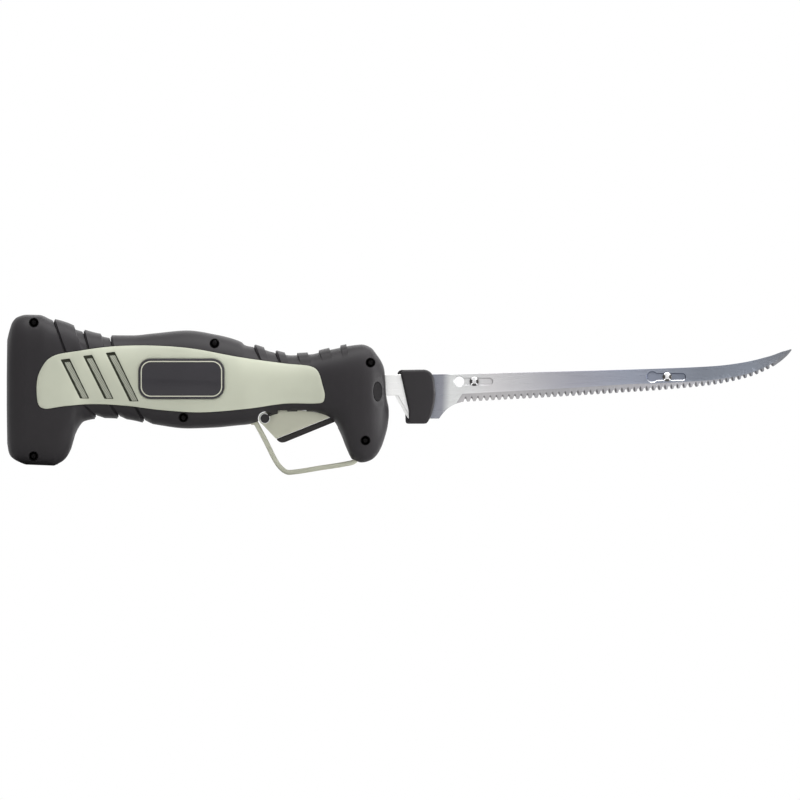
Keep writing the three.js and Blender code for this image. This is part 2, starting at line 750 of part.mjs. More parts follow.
// Raised rim of the eye, round the rear and the top of the boss's lobe
const [rimFrom, rimTo] = [75, 235].map(THREE.MathUtils.degToRad);
const rimShape = new THREE.Shape();
rimShape.absarc(pivot.x, pivot.z, triggerEye, rimFrom, rimTo);
rimShape.absarc(pivot.x, pivot.z, triggerEye - eyeRim, rimTo, rimFrom, true);
const rim = slab(rimShape, -eyeOut, -triggerHalf + 0.2).add(slab(rimShape, triggerHalf - 0.2, eyeOut));
const trigger = triggerBody.add(rodY(pivot.x, pivot.z, triggerEye, -triggerHalf, triggerHalf, 18))
  .add(rim)
  .subtract(triggerHollow)
  .subtract(rodY(pivot.x, pivot.z, pivotBossRadius + fit, -20, 20, 14))
  .add(box(-56, -42, -triggerHalf + 1, triggerHalf - 1, 35.2, 36.5));
piece('trigger', trigger, paleTrim);
piece('trigger_pad', slab(outline([
  [padLine.rear[0] + 0.1, padLine.rear[1] - padDrop],
  [-61.6, 19.1],
  [-59.9, 18.4],
  [-58, 18.6],
  [-28.9, 30.5],
  [padLine.front[0] + 0.1, padLine.front[1] - padDrop],
]), -triggerHalf, triggerHalf), blackPlastic);

// A bent round wire; the curve passes through [x, y, z] points
function tube(points, radius, steps, sides) {
  const path = new THREE.CatmullRomCurve3(points.map((p) => new THREE.Vector3(...p)));
  const round = new THREE.Shape();
  for (let k = 0; k < sides; k += 1) {
    const turn = 2 * Math.PI * k / sides;
    const [u, v] = [radius * Math.cos(turn), radius * Math.sin(turn)];
    if (k === 0) {
      round.moveTo(u, v);
    } else {
      round.lineTo(u, v);
    }
  }
  return toSolid(new THREE.ExtrudeGeometry(round, { extrudePath: path, steps, bevelEnabled: false }));
}

// Trigger spring between the trigger's shelf and the ledge above it
const spring = { x: -45, y: -3.9, radius: 2, wire: 0.3, bottom: 36.9, top: 42.6, turns: 3 };
const coil = [];
for (let k = 0; k <= spring.turns * 8; k += 1) {
  const turn = 2 * Math.PI * k / 8;
  const low = spring.bottom + spring.wire;
  const rise = (spring.top - spring.bottom - 2 * spring.wire) * k / (spring.turns * 8);
  const [c, s] = [spring.radius * Math.cos(turn), spring.radius * Math.sin(turn)];
  coil.push([spring.x + c, spring.y + s, low + rise]);
}
const coilGap = (spring.top - spring.bottom - 2 * spring.wire) / spring.turns - 2 * spring.wire;
console.log('trigger spring, least gap between turns:', coilGap.toFixed(2), 'mm');
piece('trigger_spring', tube(coil, spring.wire, spring.turns * 8, 5), steel);

// Micro switch beside the shaft, with its plunger over the trigger's shelf
const switchBox = box(-61, -43, 2.6, 9.1, 41.4, 50.4).add(box(-53, -51, 3.6, 5.4, 39.6, 42));
piece('micro_switch', switchBox, blackPlastic);

// Motor
const can = rodX(0, shaftZ, motorRadius, motorRear, motorFront, 18)
  .add(rodX(0, shaftZ, 4.5, motorFront - 1, motorFront + 2, 14))
  .subtract(rodX(0, shaftZ, shaftRadius + fit, motorFront - 8, motorFront + 5, 12));
piece('motor_can', can, zinc);
const cap = rodX(0, shaftZ, motorRadius - 0.6, motorRear - 2, motorRear - touch, 20)
  .add(box(motorRear - 4, motorRear - 1, -7, -5, shaftZ + 2, shaftZ + 6))
  .add(box(motorRear - 4, motorRear - 1, 5, 7, shaftZ + 2, shaftZ + 6));
piece('motor_end_cap', cap, blackPlastic);

// Gear frame: a channel that carries the shaft bush, the shaft's nose and the gear axle
const wormRear = gear.x - wormLength / 2;
const wormFront = gear.x + wormLength / 2;
const rearHanger = { from: gear.x - 12.4, to: gear.x - 9.2 };
const frontHanger = { from: wormFront + fit, to: wormFront + 2.8 };
let frame = box(rearHanger.from, frontHanger.to, -frameOut, frameOut, frameFloor, frameFloor + 1.8);
for (const side of [-1, 1]) {
  const [y0, y1] = side < 0 ? [-frameOut, -frameIn] : [frameIn, frameOut];
  frame = frame.add(box(gear.x - 10, gear.x + 6, y0, y1, frameFloor, gear.z + 5));
}
for (const { from, to } of [rearHanger, frontHanger]) {
  frame = frame.add(box(from, to, -4.4, 4.4, frameFloor + 1, shaftZ + 4.2));
}
frame = frame.subtract(rodX(0, shaftZ, 2.95, rearHanger.from - 1, rearHanger.to + 1, 10))
  .subtract(rodX(0, shaftZ, shaftRadius + 0.2, frontHanger.from - 1, frontHanger.to + 1, 8))
  .subtract(rodY(gear.x, gear.z, axleRadius + 0.15, -20, 20, 12));
piece('gear_frame', frame, nylon);
const bush = rodX(0, shaftZ, 2.75, rearHanger.from - 0.6, rearHanger.to + 0.6, 10)
  .subtract(rodX(0, shaftZ, shaftRadius + 0.2, rearHanger.from - 2, rearHanger.to + 2, 10));
piece('shaft_bush', bush, brass);
piece('gear_axle', rodY(gear.x, gear.z, axleRadius, -frameOut - 0.2, frameOut + 0.2, 12), steel);

// Motor shaft and the two-start worm on it
const shaft = rodX(0, shaftZ, shaftRadius, motorFront - 7.5, frontHanger.to + 0.4, 12);
piece('motor_shaft', shaft, steel);

const pressure = Math.tan(THREE.MathUtils.degToRad(20));
const addendum = module;
const dedendum = 1.25 * module;

function wormSolid() {
  const backlash = 0.35;
  const half = (Math.PI * module / 2 - backlash) / 2;
  const angle = (length) => 2 * Math.PI * length / wormLead;
  const crest = half - addendum * pressure;
  const foot = half + dedendum * pressure;
  const [outer, inner] = [wormPitchRadius + addendum, wormPitchRadius - dedendum];
  const profile = [];
  for (let k = 0; k < wormStarts; k += 1) {
    const mid = 2 * Math.PI * k / wormStarts;
    const rest = Math.PI / wormStarts - angle(foot);
    profile.push([mid - angle(foot), inner], [mid - angle(crest), outer], [mid + angle(crest), outer]);
    profile.push([mid + angle(foot), inner], [mid + angle(foot) + rest, inner]);
  }
  const steps = Math.round(wormLength / wormLead * 11);
  const rings = [];
  for (let i = 0; i <= steps; i += 1) {
    const along = -wormLength / 2 + wormLength * i / steps;
    rings.push(profile.map(([mid, radius]) => {
      const turn = mid + angle(along);
      return new THREE.Vector3(gear.x + along, -radius * Math.sin(turn), shaftZ + radius * Math.cos(turn));
    }));
  }
  return skin(rings).subtract(rodX(0, shaftZ, shaftRadius + touch, wormRear - 1, wormFront + 1, 12));
}

// Gear with teeth that follow the worm's lead, and an eccentric on each face
function gearSolid() {
  const backlash = 0.45;
  const half = (Math.PI * module / 2 - backlash) / 2;
  const [tip, root] = [gearPitchRadius + 0.9 * addendum, gearPitchRadius - dedendum];
  const tipHalf = (half - 0.9 * addendum * pressure) / gearPitchRadius;
  const rootHalf = (half + dedendum * pressure) / gearPitchRadius;
  const twistRate = wormLead / (2 * Math.PI * wormPitchRadius) / gearPitchRadius;
  const layers = 1;
  const rings = [];
  for (let i = 0; i <= layers; i += 1) {
    const y = -gearHalf + 2 * gearHalf * i / layers;
    const ring = [];
    for (let k = 0; k < gearTeeth; k += 1) {
      const mid = Math.PI + (k + 0.5) * 2 * Math.PI / gearTeeth + twistRate * y;
      for (const [turn, radius] of [[-rootHalf, root], [-tipHalf, tip], [tipHalf, tip], [rootHalf, root]]) {
        const [s, c] = [Math.sin(mid + turn), Math.cos(mid + turn)];
        ring.push(new THREE.Vector3(gear.x + radius * s, y, gear.z + radius * c));
      }
    }
    rings.push(ring);
  }
  const shift = { x: throwRadius * Math.sin(restCrank), z: throwRadius * Math.cos(restCrank) };
  return skin(rings)
    .add(rodY(gear.x, gear.z, hubRadius, -yokeIn + 0.2, yokeIn - 0.2, 16))
    .add(rodY(gear.x + shift.x, gear.z + shift.z, camRadius, -yokeOut + 0.1, -yokeIn + 0.3, 20))
    .add(rodY(gear.x - shift.x, gear.z - shift.z, camRadius, yokeIn - 0.3, yokeOut - 0.1, 20))
    .subtract(rodY(gear.x, gear.z, axleRadius + 0.15, -20, 20, 12));
}
piece('worm', wormSolid(), brass);
piece('drive_gear', gearSolid(), nylon);

// Yokes: an upright fork round each eccentric, an arm to the front, and a block for the blade's tang
const forkHalf = camRadius + slideFit;
const forkFloor = gear.z - camRadius - throwRadius - 0.5;
const blockRear = -15;
const blockFront = -7.5;
const latchX = -10.6;
const latchZ = 51.5;
for (const [name, side] of [['right', -1], ['left', 1]]) {
  const shift = -side * restShift;
  const [plateFrom, plateTo] = side < 0 ? [-yokeOut, -yokeIn] : [yokeIn, yokeOut];
  const [blockFrom, blockTo] = side < 0 ? [-yokeOut, -bladeOut - touch] : [bladeOut + touch, yokeOut];
  const fork = outline([
    [gear.x - forkHalf - 3, gear.z + 4.5],
    [gear.x - forkHalf - 3, forkFloor - 4],
    [blockRear, forkFloor - 4],
    [blockRear, forkFloor],
    [gear.x + forkHalf + 3, forkFloor],
    [gear.x + forkHalf + 3, gear.z + 4.5],
    [gear.x + forkHalf, gear.z + 4.5],
    [gear.x + forkHalf, forkFloor],
    [gear.x - forkHalf, forkFloor],
    [gear.x - forkHalf, gear.z + 4.5],
  ].map(([x, z]) => [x + shift, z]));
  const [armRear, armFront] = [blockRear + shift, blockFront + shift];
  const arm = box(armRear - 0.5, armFront, plateFrom, plateTo, forkFloor - 4, tangTop - 0.4);
  const block = box(armRear, armFront, blockFrom, blockTo, tangBottom + 0.6, tangTop - 0.4);
  const yoke = slab(fork, plateFrom, plateTo).add(arm).add(block)
    .subtract(rodY(latchX + shift, latchZ, 1.4, -20, 20, 10));
  piece(`${name}_yoke`, yoke, nylon);
  const leaf = side < 0 ? [-yokeOut - 0.7, -yokeOut - touch] : [yokeOut + touch, yokeOut + 0.7];
  const bolt = side < 0 ? [-yokeOut - 0.5, -bladeOut - fit] : [bladeOut + fit, yokeOut + 0.5];
  const latch = box(latchX - 3.6 + shift, latchX + 3.6 + shift, ...leaf, latchZ - 2.4, latchZ + 2.4)
    .add(rodY(latchX + shift, latchZ, 1.15, ...bolt, 10));
  piece(`${name}_blade_latch`, latch, steel);
}

// Shoulder where the tang widens into the blade's root
const shoulder = [
  [collarFront - 21.3, tangBottom],
  [collarFront - 15.9, 35.6],
  [collarFront - 13.5, ricassoBottom],
];

// Blade outline: tang, shoulder, ricasso, hollow sweep up to the teeth, edge, tip and spine
// Each point: share of the blade's length from the collar, height
function bladeCurve(points) {
  return new THREE.SplineCurve(points.map(([share, z]) => new THREE.Vector2(alongBlade(share), z)));
}
const edgeCurve = bladeCurve([
  [0.072, 41.6],
  [0.116, 42.1],
  [0.350, 44.7],
  [0.534, 47.1],
  [0.631, 48.4],
  [0.744, 50.5],
  [0.800, 52.1],
  [0.868, 55.1],
  [0.912, 58.2],
  [0.948, 61.8],
]);
const spineCurve = bladeCurve([
  [0.999, 71.8],
  [0.975, 70.4],
  [0.934, 67.5],
  [0.857, 63.9],
  [0.744, 61.6],
  [0.464, 59.6],
  [0.183, 58.2],
  [0, tangTop],
]);

// The teeth start a share of a tooth later on the left blade, so that both rows stand in line at rest
function bladeShape(late) {
  const shape = new THREE.Shape();
  shape.moveTo(tangRear, tangTop - 1.5);
  shape.lineTo(tangRear, tangBottom + 1.5);
  shape.lineTo(tangRear + 1.5, tangBottom);
  shape.lineTo(...shoulder[0]);
  shape.lineTo(...shoulder[1]);
  shape.lineTo(...shoulder[2]);
  shape.lineTo(collarFront + 2.1, ricassoBottom);
  const start = edgeCurve.getPointAt(0);
  shape.bezierCurveTo(collarFront + 5.1, 37, collarFront + 9.6, 40.6, start.x, start.y - 0.2);
  const teeth = Math.round(edgeCurve.getLength() / toothPitch);
  for (let k = late; k + 1 <= teeth; k += 1) {
    const from = edgeCurve.getPointAt(k / teeth);
    const to = edgeCurve.getPointAt((k + 1) / teeth);
    const run = to.clone().sub(from);
    const rise = new THREE.Vector2(-run.y, run.x).normalize();
    const dip = (along, depth) => from.clone().addScaledVector(run, along).addScaledVector(rise, depth);
    const points = [dip(0, 0), dip(0.24, 0.85 * toothDepth), dip(0.66, toothDepth)];
    points.forEach((p) => shape.lineTo(p.x, p.y));
  }
  const heel = edgeCurve.getPointAt(1);
  shape.lineTo(heel.x, heel.y);
  shape.quadraticCurveTo(alongBlade(0.984), 66.4, tipX, 71.2);
  spineCurve.getPoints(14).forEach((p) => shape.lineTo(p.x, p.y));
  shape.lineTo(tangRear + 1.5, tangTop);
  return shape;
}

// A wedge along the edge that thins the outer face of a blade down to its teeth
function edgeGrind(side) {
  const rings = [];
  const grindSteps = 6;
  const land = 4.6;
  const keep = 0.25;
  for (let i = -1; i <= grindSteps + 1; i += 1) {
    const t = THREE.MathUtils.clamp(i / grindSteps, 0, 1);
    const p = edgeCurve.getPointAt(t);
    const run = edgeCurve.getTangentAt(t);
    const extra = i < 0 ? -2 : (i > grindSteps ? 3 : 0);
    const [startX, startZ] = [p.x + run.x * extra, p.y + run.y * extra];
    const at = (up, y) => new THREE.Vector3(startX - run.y * up, side * y, startZ + run.x * up);
    const low = bladeGap + keep - 0.14;
    rings.push([at(land, bladeOut), at(-1, low), at(-1, bladeOut + 2), at(land, bladeOut + 2)]);
  }
  return skin(rings);
}

function keyhole(slot, shift) {
  const shape = new THREE.Shape();
  const { x, z } = slot;
  shape.absarc(x + shift + slotReach, z, slotHalf, -Math.PI / 2, Math.PI / 2);
  const open = Math.asin(slotHalf / keyholeRadius);
  shape.absarc(x + shift - keyholeBack, z, keyholeRadius, open, 2 * Math.PI - open);
  return slab(shape, -6, 6);
}

for (const [name, side] of [['right', -1], ['left', 1]]) {
  const shift = -side * restShift;
  const [y0, y1] = side < 0 ? [-bladeOut, -bladeGap] : [bladeGap, bladeOut];
  const late = side < 0 ? 0 : 2 * restShift / toothPitch;
  const plain = slab(bladeShape(late), y0, y1).subtract(edgeGrind(side));
  const moved = (solid) => toSolid(toGeometry(solid).translate(shift, 0, 0));
  let blade = moved(plain);
  for (const slot of [rearSlot, frontSlot]) {
    const rivetHole = rodY(slot.x + shift, slot.z, rivetShank + touch, -6, 6);
    blade = blade.subtract(side < 0 ? keyhole(slot, shift) : rivetHole);
  }
  // Behind the round end of the rear keyhole the left blade is open too
  if (side > 0) {
    const { x, z } = rearSlot;
    blade = blade.subtract(rodY(x + restShift - keyholeBack, z, keyholeRadius, -6, 6));
  }
  piece(`${name}_blade`, blade, steel);
}

// Collar halves: a rounded grip moulded over each blade's root
const collarOutline = new THREE.Shape();
collarOutline.moveTo(collarFront - 19.7, 56.8);
collarOutline.quadraticCurveTo(collarFront - 19.7, 59.8, collarFront - 16.9, 59.9);
collarOutline.lineTo(collarFront - 6.5, 60.1);
collarOutline.quadraticCurveTo(collarFront - 1.5, 59.6, collarFront - 0.7, 54);
collarOutline.lineTo(collarFront, 46.4);
collarOutline.lineTo(collarFront - 0.4, 41.8);
collarOutline.quadraticCurveTo(collarFront - 1.9, 33, collarFront - 4.9, 29.6);
collarOutline.quadraticCurveTo(collarFront - 5.7, 29.2, collarFront - 6.9, 29.2);
collarOutline.lineTo(collarFront - 13.3, 29.2);
collarOutline.quadraticCurveTo(collarFront - 15.1, 29.2, collarFront - 15.1, 31);
collarOutline.lineTo(collarFront - 15.3, 37);
const collarRound = 1.6;
const collarLine = outline(collarOutline.getPoints(3).map((p) => [p.x, p.y]));
function collarRing(y, inset) {
  const ring = grownOutline(collarLine, -inset * collarRound).getPoints();
  return ring.map((p) => new THREE.Vector3(p.x, y, p.y));
}
const collarBody = skin([
  [-collarHalf, 1],
  [-collarHalf + 0.3 * collarRound, 0.3],
  [-collarHalf + collarRound, 0],
  [collarHalf - collarRound, 0],
  [collarHalf - 0.3 * collarRound, 0.3],
  [collarHalf, 1],
].map(([y, inset]) => collarRing(y, inset)));
for (const [name, side] of [['right', -1], ['left', 1]]) {
  const half = collarBody.intersect(sideOf(side, bladeGap));
  const room = slab(grownOutline(outline([
    [-20, tangTop],
    [-20, tangBottom],
    ...shoulder,
    [40, ricassoBottom],
    [40, tangTop + 0.4],
    [collarFront + 0.1, tangTop],
  ]), 0.15), -bladeOut - touch, bladeOut + touch);
  const collar = toGeometry(half.subtract(room)).translate(-side * restShift, 0, 0);
  piece(`${name}_collar`, collar, blackPlastic);
}

// Rivets fixed in the left blade: their shanks run in the right blade's slots
for (const [name, slot] of [['rear_rivet', rearSlot], ['front_rivet', frontSlot]]) {
  const face = bladeOut + 0.12;
  const profile = [
    [0, -face - 0.8],
    [rivetHead * 0.6, -face - 0.65],
    [rivetHead, -face - 0.15],
    [rivetHead, -face],
    [rivetShank, -face],
    [rivetShank, face],
    [rivetHead, face],
    [rivetHead, face + 0.15],
    [rivetHead * 0.6, face + 0.65],
    [0, face + 0.8],
  ];
  const shape = new THREE.LatheGeometry(profile.map(([r, y]) => new THREE.Vector2(r, y)), 9);
  piece(name, toSolid(shape.translate(slot.x - restShift, 0, slot.z)), steel);
}

// Release buttons and the leaf springs behind them
for (const [name, side] of [['right', -1], ['left', 1]]) {
  const [y0, y1] = side < 0 ? [-40, -button.inner] : [button.inner, 40];
  const face = handleBody(0.45, ...fine);
  piece(`${name}_release_button`, slab(buttonOutline(0), y0, y1).intersect(face), blackPlastic);
  const leafOut = button.inner - fit;
  const leaf = side < 0 ? [-leafOut, -leafOut + 0.4] : [leafOut - 0.4, leafOut];
  piece(`${name}_button_spring`, box(-17, -3.4, ...leaf, button.z - 2.2, button.z + 2.2), steel);
}

// Cells, straps, board and charge socket
const wrap = finish(0x4f6f8f, 0.5);
piece('upper_cell', rodX(0, upperCellZ, cellRadius, cellRear, cellFront, 14), wrap);
piece('lower_cell', rodX(0, lowerCellZ, cellRadius, cellRear, cellFront, 14), wrap);
const heelBottom = heelCell.z - cellLength / 2;
piece('heel_cell', rodZ(heelCell.x, 0, cellRadius, heelBottom, heelBottom + cellLength, 14), wrap);
const strapZ = [lowerCellZ - 4, upperCellZ + 4];
piece('rear_cell_strap', box(cellRear - fit - 0.4, cellRear - fit, -3.5, 3.5, ...strapZ), zinc);
piece('front_cell_strap', box(cellFront + fit, cellFront + fit + 0.4, -3.5, 3.5, ...strapZ), zinc);
piece('control_board', box(boardRear, boardFront, -13, 13, 24, 66), finish(0x2f5d3a, 0.6));
const socketBase = baseHeight(socket.x) + 0.6;
const socketBody = rodZ(socket.x, 0, socket.radius, socketBase, socketBase + socket.height, 12)
  .subtract(rodZ(socket.x, 0, socket.bore, socketBase - 5, socketBase + socket.height - 2, 10))
  .add(rodZ(socket.x, 0, socket.pin, socketBase + 1.5, socketBase + socket.height - 1, 6));
piece('charge_socket', socketBody, blackPlastic);

// Leads from the board to the motor, and to and from the switch
const valleyZ = (upperCellZ + lowerCellZ) / 2;
const leadRadius = 0.65;
const capRear = motorRear - 4;
piece('motor_lead_red', tube([
  [boardFront + 0.4, -6, valleyZ + 2],
  [cellRear - 1, -6.6, valleyZ],
  [cellRear + 33, -6.8, valleyZ],
  [cellFront - 4, -6.8, valleyZ],
  [capRear - 0.5, -6, shaftZ + 4],
], leadRadius, 10, 4), finish(0xa03028, 0.5));
piece('motor_lead_black', tube([
  [boardFront + 0.4, 6, valleyZ + 2],
  [cellRear - 1, 6.6, valleyZ],
  [cellRear + 33, 6.8, valleyZ],
  [cellFront - 4, 6.8, valleyZ],
  [capRear - 0.5, 6, shaftZ + 4],
], leadRadius, 10, 4), finish(0x222222, 0.5));
const switchLeads = [['switch_lead_feed', 11.4, 38.6, 46], ['switch_lead_return', 9.8, 37.3, 44]];
for (const [name, y, z, endZ] of switchLeads) {
  piece(name, tube([
    [cellFront + 1.6, y - 6.4, z + 6],
    [motorRear - 3, y - 0.6, z + 0.8],
    [motorRear + 6, y, z],
    [motorFront, y, z],
    [-68, y, z + 1],
    [-64, y - 2.4, endZ - 3],
    [-62.2, y - 4.6, endZ],
  ], leadRadius, 10, 4), finish(0x8a2f2a, 0.5));
}

// Stand the knife on its heel and guard, with the middle of its box over the origin
knife.rotation.y = -standAngle;
knife.updateMatrixWorld(true);
const bounds = new THREE.Box3().setFromObject(knife, true);
knife.position.set(-(bounds.min.x + bounds.max.x) / 2, 0, -bounds.min.z);
knife.updateMatrixWorld(true);

export default knife;
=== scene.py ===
import json
import math

import bmesh
import bpy
import numpy as np
from bpy.props import FloatProperty, FloatVectorProperty, PointerProperty
from bpy.types import Operator, Panel, PropertyGroup
from mathutils import Matrix, Vector
from mathutils.geometry import delaunay_2d_cdt


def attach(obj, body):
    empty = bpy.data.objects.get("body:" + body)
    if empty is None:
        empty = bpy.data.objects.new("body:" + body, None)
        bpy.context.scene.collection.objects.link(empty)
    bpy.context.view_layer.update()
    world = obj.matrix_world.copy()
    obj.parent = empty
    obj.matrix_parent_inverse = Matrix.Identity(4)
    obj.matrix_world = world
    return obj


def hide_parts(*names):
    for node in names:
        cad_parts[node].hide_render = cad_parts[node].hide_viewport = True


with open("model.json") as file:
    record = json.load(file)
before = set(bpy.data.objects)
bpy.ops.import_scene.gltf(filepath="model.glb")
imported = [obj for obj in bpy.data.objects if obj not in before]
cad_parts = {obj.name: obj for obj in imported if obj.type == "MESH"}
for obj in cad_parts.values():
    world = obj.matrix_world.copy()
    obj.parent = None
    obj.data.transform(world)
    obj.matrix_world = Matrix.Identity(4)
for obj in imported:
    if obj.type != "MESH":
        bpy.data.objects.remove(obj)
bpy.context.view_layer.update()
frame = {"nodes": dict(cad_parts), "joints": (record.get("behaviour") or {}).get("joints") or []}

bl_info = {
    "name": "Electric fillet knife",
    "version": (1, 0, 0),
    "blender": (4, 5, 0),
    "location": "View3D > Sidebar > Fillet knife",
    "description": "Builds the looks of a cordless electric fillet knife round its packed frame",
    "category": "Add Mesh",
}

# Sizes are in millimetres in the knife's working frame: X forward from the nose, Y across, Z up
MM = 0.001
# Name of each side of the knife and the sign of its y
SIDES = (("right", -1), ("left", 1))
# Turn from the working frame to the knife standing on its heel and guard
STAND = math.radians(2.2)
# Gap round a fitted piece, half the gap between the casing's halves, and the casing's wall
FIT = 0.3
SEAM = 0.1
WALL = 2.6
# The trigger's pivot, x and z
PIVOT = (-69.3, 32.2)

# Handle rows: x, height of the back, height of the belly, half width, squareness
HANDLE_ROWS = np.array([
    (-216.2, 77, 18, 13, 3.2),
    (-215.2, 81.4, 12.4, 17, 3.4),
    (-213.2, 87.2, 9.7, 19.4, 3.6),
    (-210.2, 90.1, 7.8, 21, 3.7),
    (-205, 91.4, 5.8, 22, 3.8),
    (-197, 91.2, 4.7, 22.2, 3.8),
    (-191, 89.4, 4.9, 22, 3.6),
    (-187, 88.5, 6.5, 21.8, 3.5),
    (-183.5, 87.5, 8.8, 21.5, 3.4),
    (-180, 86.2, 14.2, 21, 3.2),
    (-176.6, 84.6, 25, 20.6, 3),
    (-172, 82.9, 30.8, 20.2, 2.8),
    (-164, 80.8, 32.4, 19.7, 2.6),
    (-156, 79.7, 32.5, 19.4, 2.5),
    (-145, 79.6, 31.3, 19.5, 2.5),
    (-132, 80.8, 28.8, 20.4, 2.5),
    (-113.4, 82.4, 26.5, 21.9, 2.5),
    (-98, 80.2, 27, 22, 2.5),
    (-83, 76, 28.4, 21, 2.5),
    (-80.5, 73.9, 28.6, 20.8, 2.5),
    (-74, 72.6, 29.8, 20.2, 2.5),
    (-66, 70.3, 33.2, 19.4, 2.5),
    (-55, 68.2, 35.6, 18.5, 2.5),
    (-43, 68.8, 35.6, 18.3, 2.5),
    (-35, 70.7, 33.6, 18.8, 2.5),
    (-30, 71.8, 30.2, 19.2, 2.6),
    (-26.2, 72.6, 23.7, 19.6, 2.7),
    (-22.8, 73.3, 15.1, 19.9, 2.9),
    (-19.4, 73.9, 8.8, 20, 3),
    (-14, 74.4, 7.1, 19.6, 3),
    (-9, 72.7, 8.4, 18.4, 3),
    (-5.5, 68.5, 11.4, 16.6, 3),
    (-2.6, 64, 16.6, 14.4, 3),
    (-1, 58.9, 21.3, 12.4, 3),
    (-0.2, 46, 24, 10.8, 2.8),
    (0.5, 41.9, 26.8, 9.6, 2.6),
    (1.1, 39.4, 31, 8.2, 2.6),
])

# Dips over the back: x of the line that ends each, run behind it, depth at its start and at the line,
# and how far the line runs down the side
BACK_DIPS = [(-189.6, 8.0, 0.0, 1.1, 19.0), (-172.6, 5.6, 2.0, 1.5, 11.0), (-157.2, 5.8, 1.4, 1.7, 7.5)]
# Notches under the belly: x at the bottom, depth, run, how far the line runs up the side
BELLY_LINES = [(-165.6, 1.7, 5.0, 8.0), (-152.7, 1.5, 4.6, 9.0), (-138.2, 1.5, 5.0, 9.5)]
# Ribs over the neck: x, width, how far the line behind it runs down the side
NECK_RIBS = [(-72.6, 5.6, 7.0), (-60.6, 5.2, 5.5), (-48, 6.0, 0.0), (-35.6, 6.0, 0.0), (-24.6, 3.4, 0.0)]

# Half widths of the thin lines beside them, at the floor and at the edge
LINE_FLOOR = 0.28
LINE_EDGE = 0.72

# Front of the heel, height and x, and how far behind it the sides start to roll off
HEEL_BROW = [(4.7, -191), (6.5, -187), (8.8, -183.5), (14.2, -180), (25, -176.6), (30.8, -172), (33, -164)]
HEEL_ROLL = 9.5

# Screws of the casing, x and z
CASE_SCREWS = {
    "heel_top_screw": (-201, 86.9),
    "heel_bottom_screw": (-201.2, 10.8),
    "grip_lower_screw": (-115.7, 32.8),
    "grip_upper_screw": (-98, 75),
    "head_upper_screw": (-9.1, 64.1),
    "head_lower_screw": (-12, 19.7),
}
# How far the seats of the screws' heads lie from the middle plane
SCREW_SEAT = 10.2
PIVOT_SEAT = 7.9
# Radii of the screws' bosses, head recesses, and shank holes in the right and the left half
BOSS = 3.8
RECESS = 2.8
SHANK_RIGHT = 1.7
SHANK_LEFT = 1.75
# Radii round the trigger's pivot: the casing's boss, room for the screw's head and for its shank
PIVOT_BOSS = 2.55
PIVOT_HEAD = 2.35
PIVOT_SHANK = 1.6
# Half widths of the trigger's bay and of the trigger
BAY_HALF = 6.9
TRIGGER_HALF = 6.4
# Openings beside the bay: middles along x, half width, bottom and top
OPENINGS = (-59.2, -48.2)
OPENING_HALF = 2.7
OPENING_LOW = 28
OPENING_HIGH = 36.9
# Charge socket's hole under the heel: x and radius
SOCKET_X = -191.6
SOCKET_RADIUS = 4.5
# Room round the tangs in the nose: half width, and gap above and below
TANG_ROOM = 2.3
TANG_GAP = 0.9
# Further out than any piece of the knife
FAR = 400

# Outline of the grip panels, how far they stand proud and how thick they are
PANEL_LINE = [
    (-199.5, 48.5), (-198.6, 56.5), (-194.2, 64.6), (-189.5, 68), (-174.5, 70.9),
    (-156, 73.3), (-134, 73.8), (-111, 72.1), (-84, 67.2), (-58, 63.6),
    (-42.5, 61.7), (-39.2, 59.2), (-36.4, 51), (-35.2, 45.2), (-36.2, 41.6),
    (-40, 40.8), (-57.5, 40.7), (-78, 37.9), (-106, 35.7), (-128, 37),
    (-150, 39.6), (-168, 40.4), (-184, 39.2), (-195.4, 37.9), (-198.2, 39.8),
]
PANEL_PROUD = 0.35
PANEL_DEPTH = 1.5
# Slots in the panel: middle of the top edge, middle of the bottom edge; and half their width
SLOTS = [
    ((-183.2, 66.1), (-172.1, 43.6)), ((-170.4, 68.2), (-158.2, 43.4)), ((-157.5, 69.9), (-143.9, 42)),
]
SLOT_HALF = 2.6
# Name plate: x, z, half length, half height, corner radius
PLATE = (-116.9, 54.8, 24.5, 11.5, 7.0)

# Middle line of the guard's strap, outline of its rear root, half width and thickness
GUARD_LINE = [
    (-74.9, 30.5), (-72.9, 26.9), (-69, 19.6), (-62.9, 7.6), (-60.3, 4.2), (-56.8, 1.7),
    (-52, 1.8), (-38, 4), (-24, 6.2), (-18.6, 7.6), (-16.2, 10.4), (-15.6, 13),
]
GUARD_ROOT = [(-81, 28), (-75, 33), (-73, 33), (-71.3, 27.5), (-73.4, 24.4), (-76.4, 27)]
GUARD_HALF = 5.2
GUARD_THICKNESS = 2.8

# Bay that the trigger swings in
BAY_LINE = [
    (-74, 12), (-74, 36.2), (-66, 40.6), (-38, 40.8), (-28, 39.8), (-26.6, 33), (-27.6, 27.4), (-32, 12),
]
# The trigger's eye: its radius, the radius of the casing's lobe in it, and how far out its rims reach
EYE = 3.5
LOBE = 2.65
EYE_OUT = 9.6

# Release buttons: x, z, half length, half height, depth of the inner end; and how far they lie sunk
BUTTON = (-5, 47.6, 2.5, 5.6, 11.2)
BUTTON_SUNK = 0.65

# Depth of a blade's inner and outer face; both blades are drawn together and then moved apart to where
# the crank, with this radius, rests
BLADE_GAP = 0.1
BLADE_OUT = 1.05
CRANK = 3.2
REST_SHIFT = CRANK * math.sin(math.radians(18))
# Front of the collars, length of the blades ahead of it, heights of the tang and of the root's underside
COLLAR_FRONT = 26.9
BLADE_LENGTH = 203
TANG_TOP = 57.3
TANG_BOTTOM = 45.3
RICASSO = 32.2
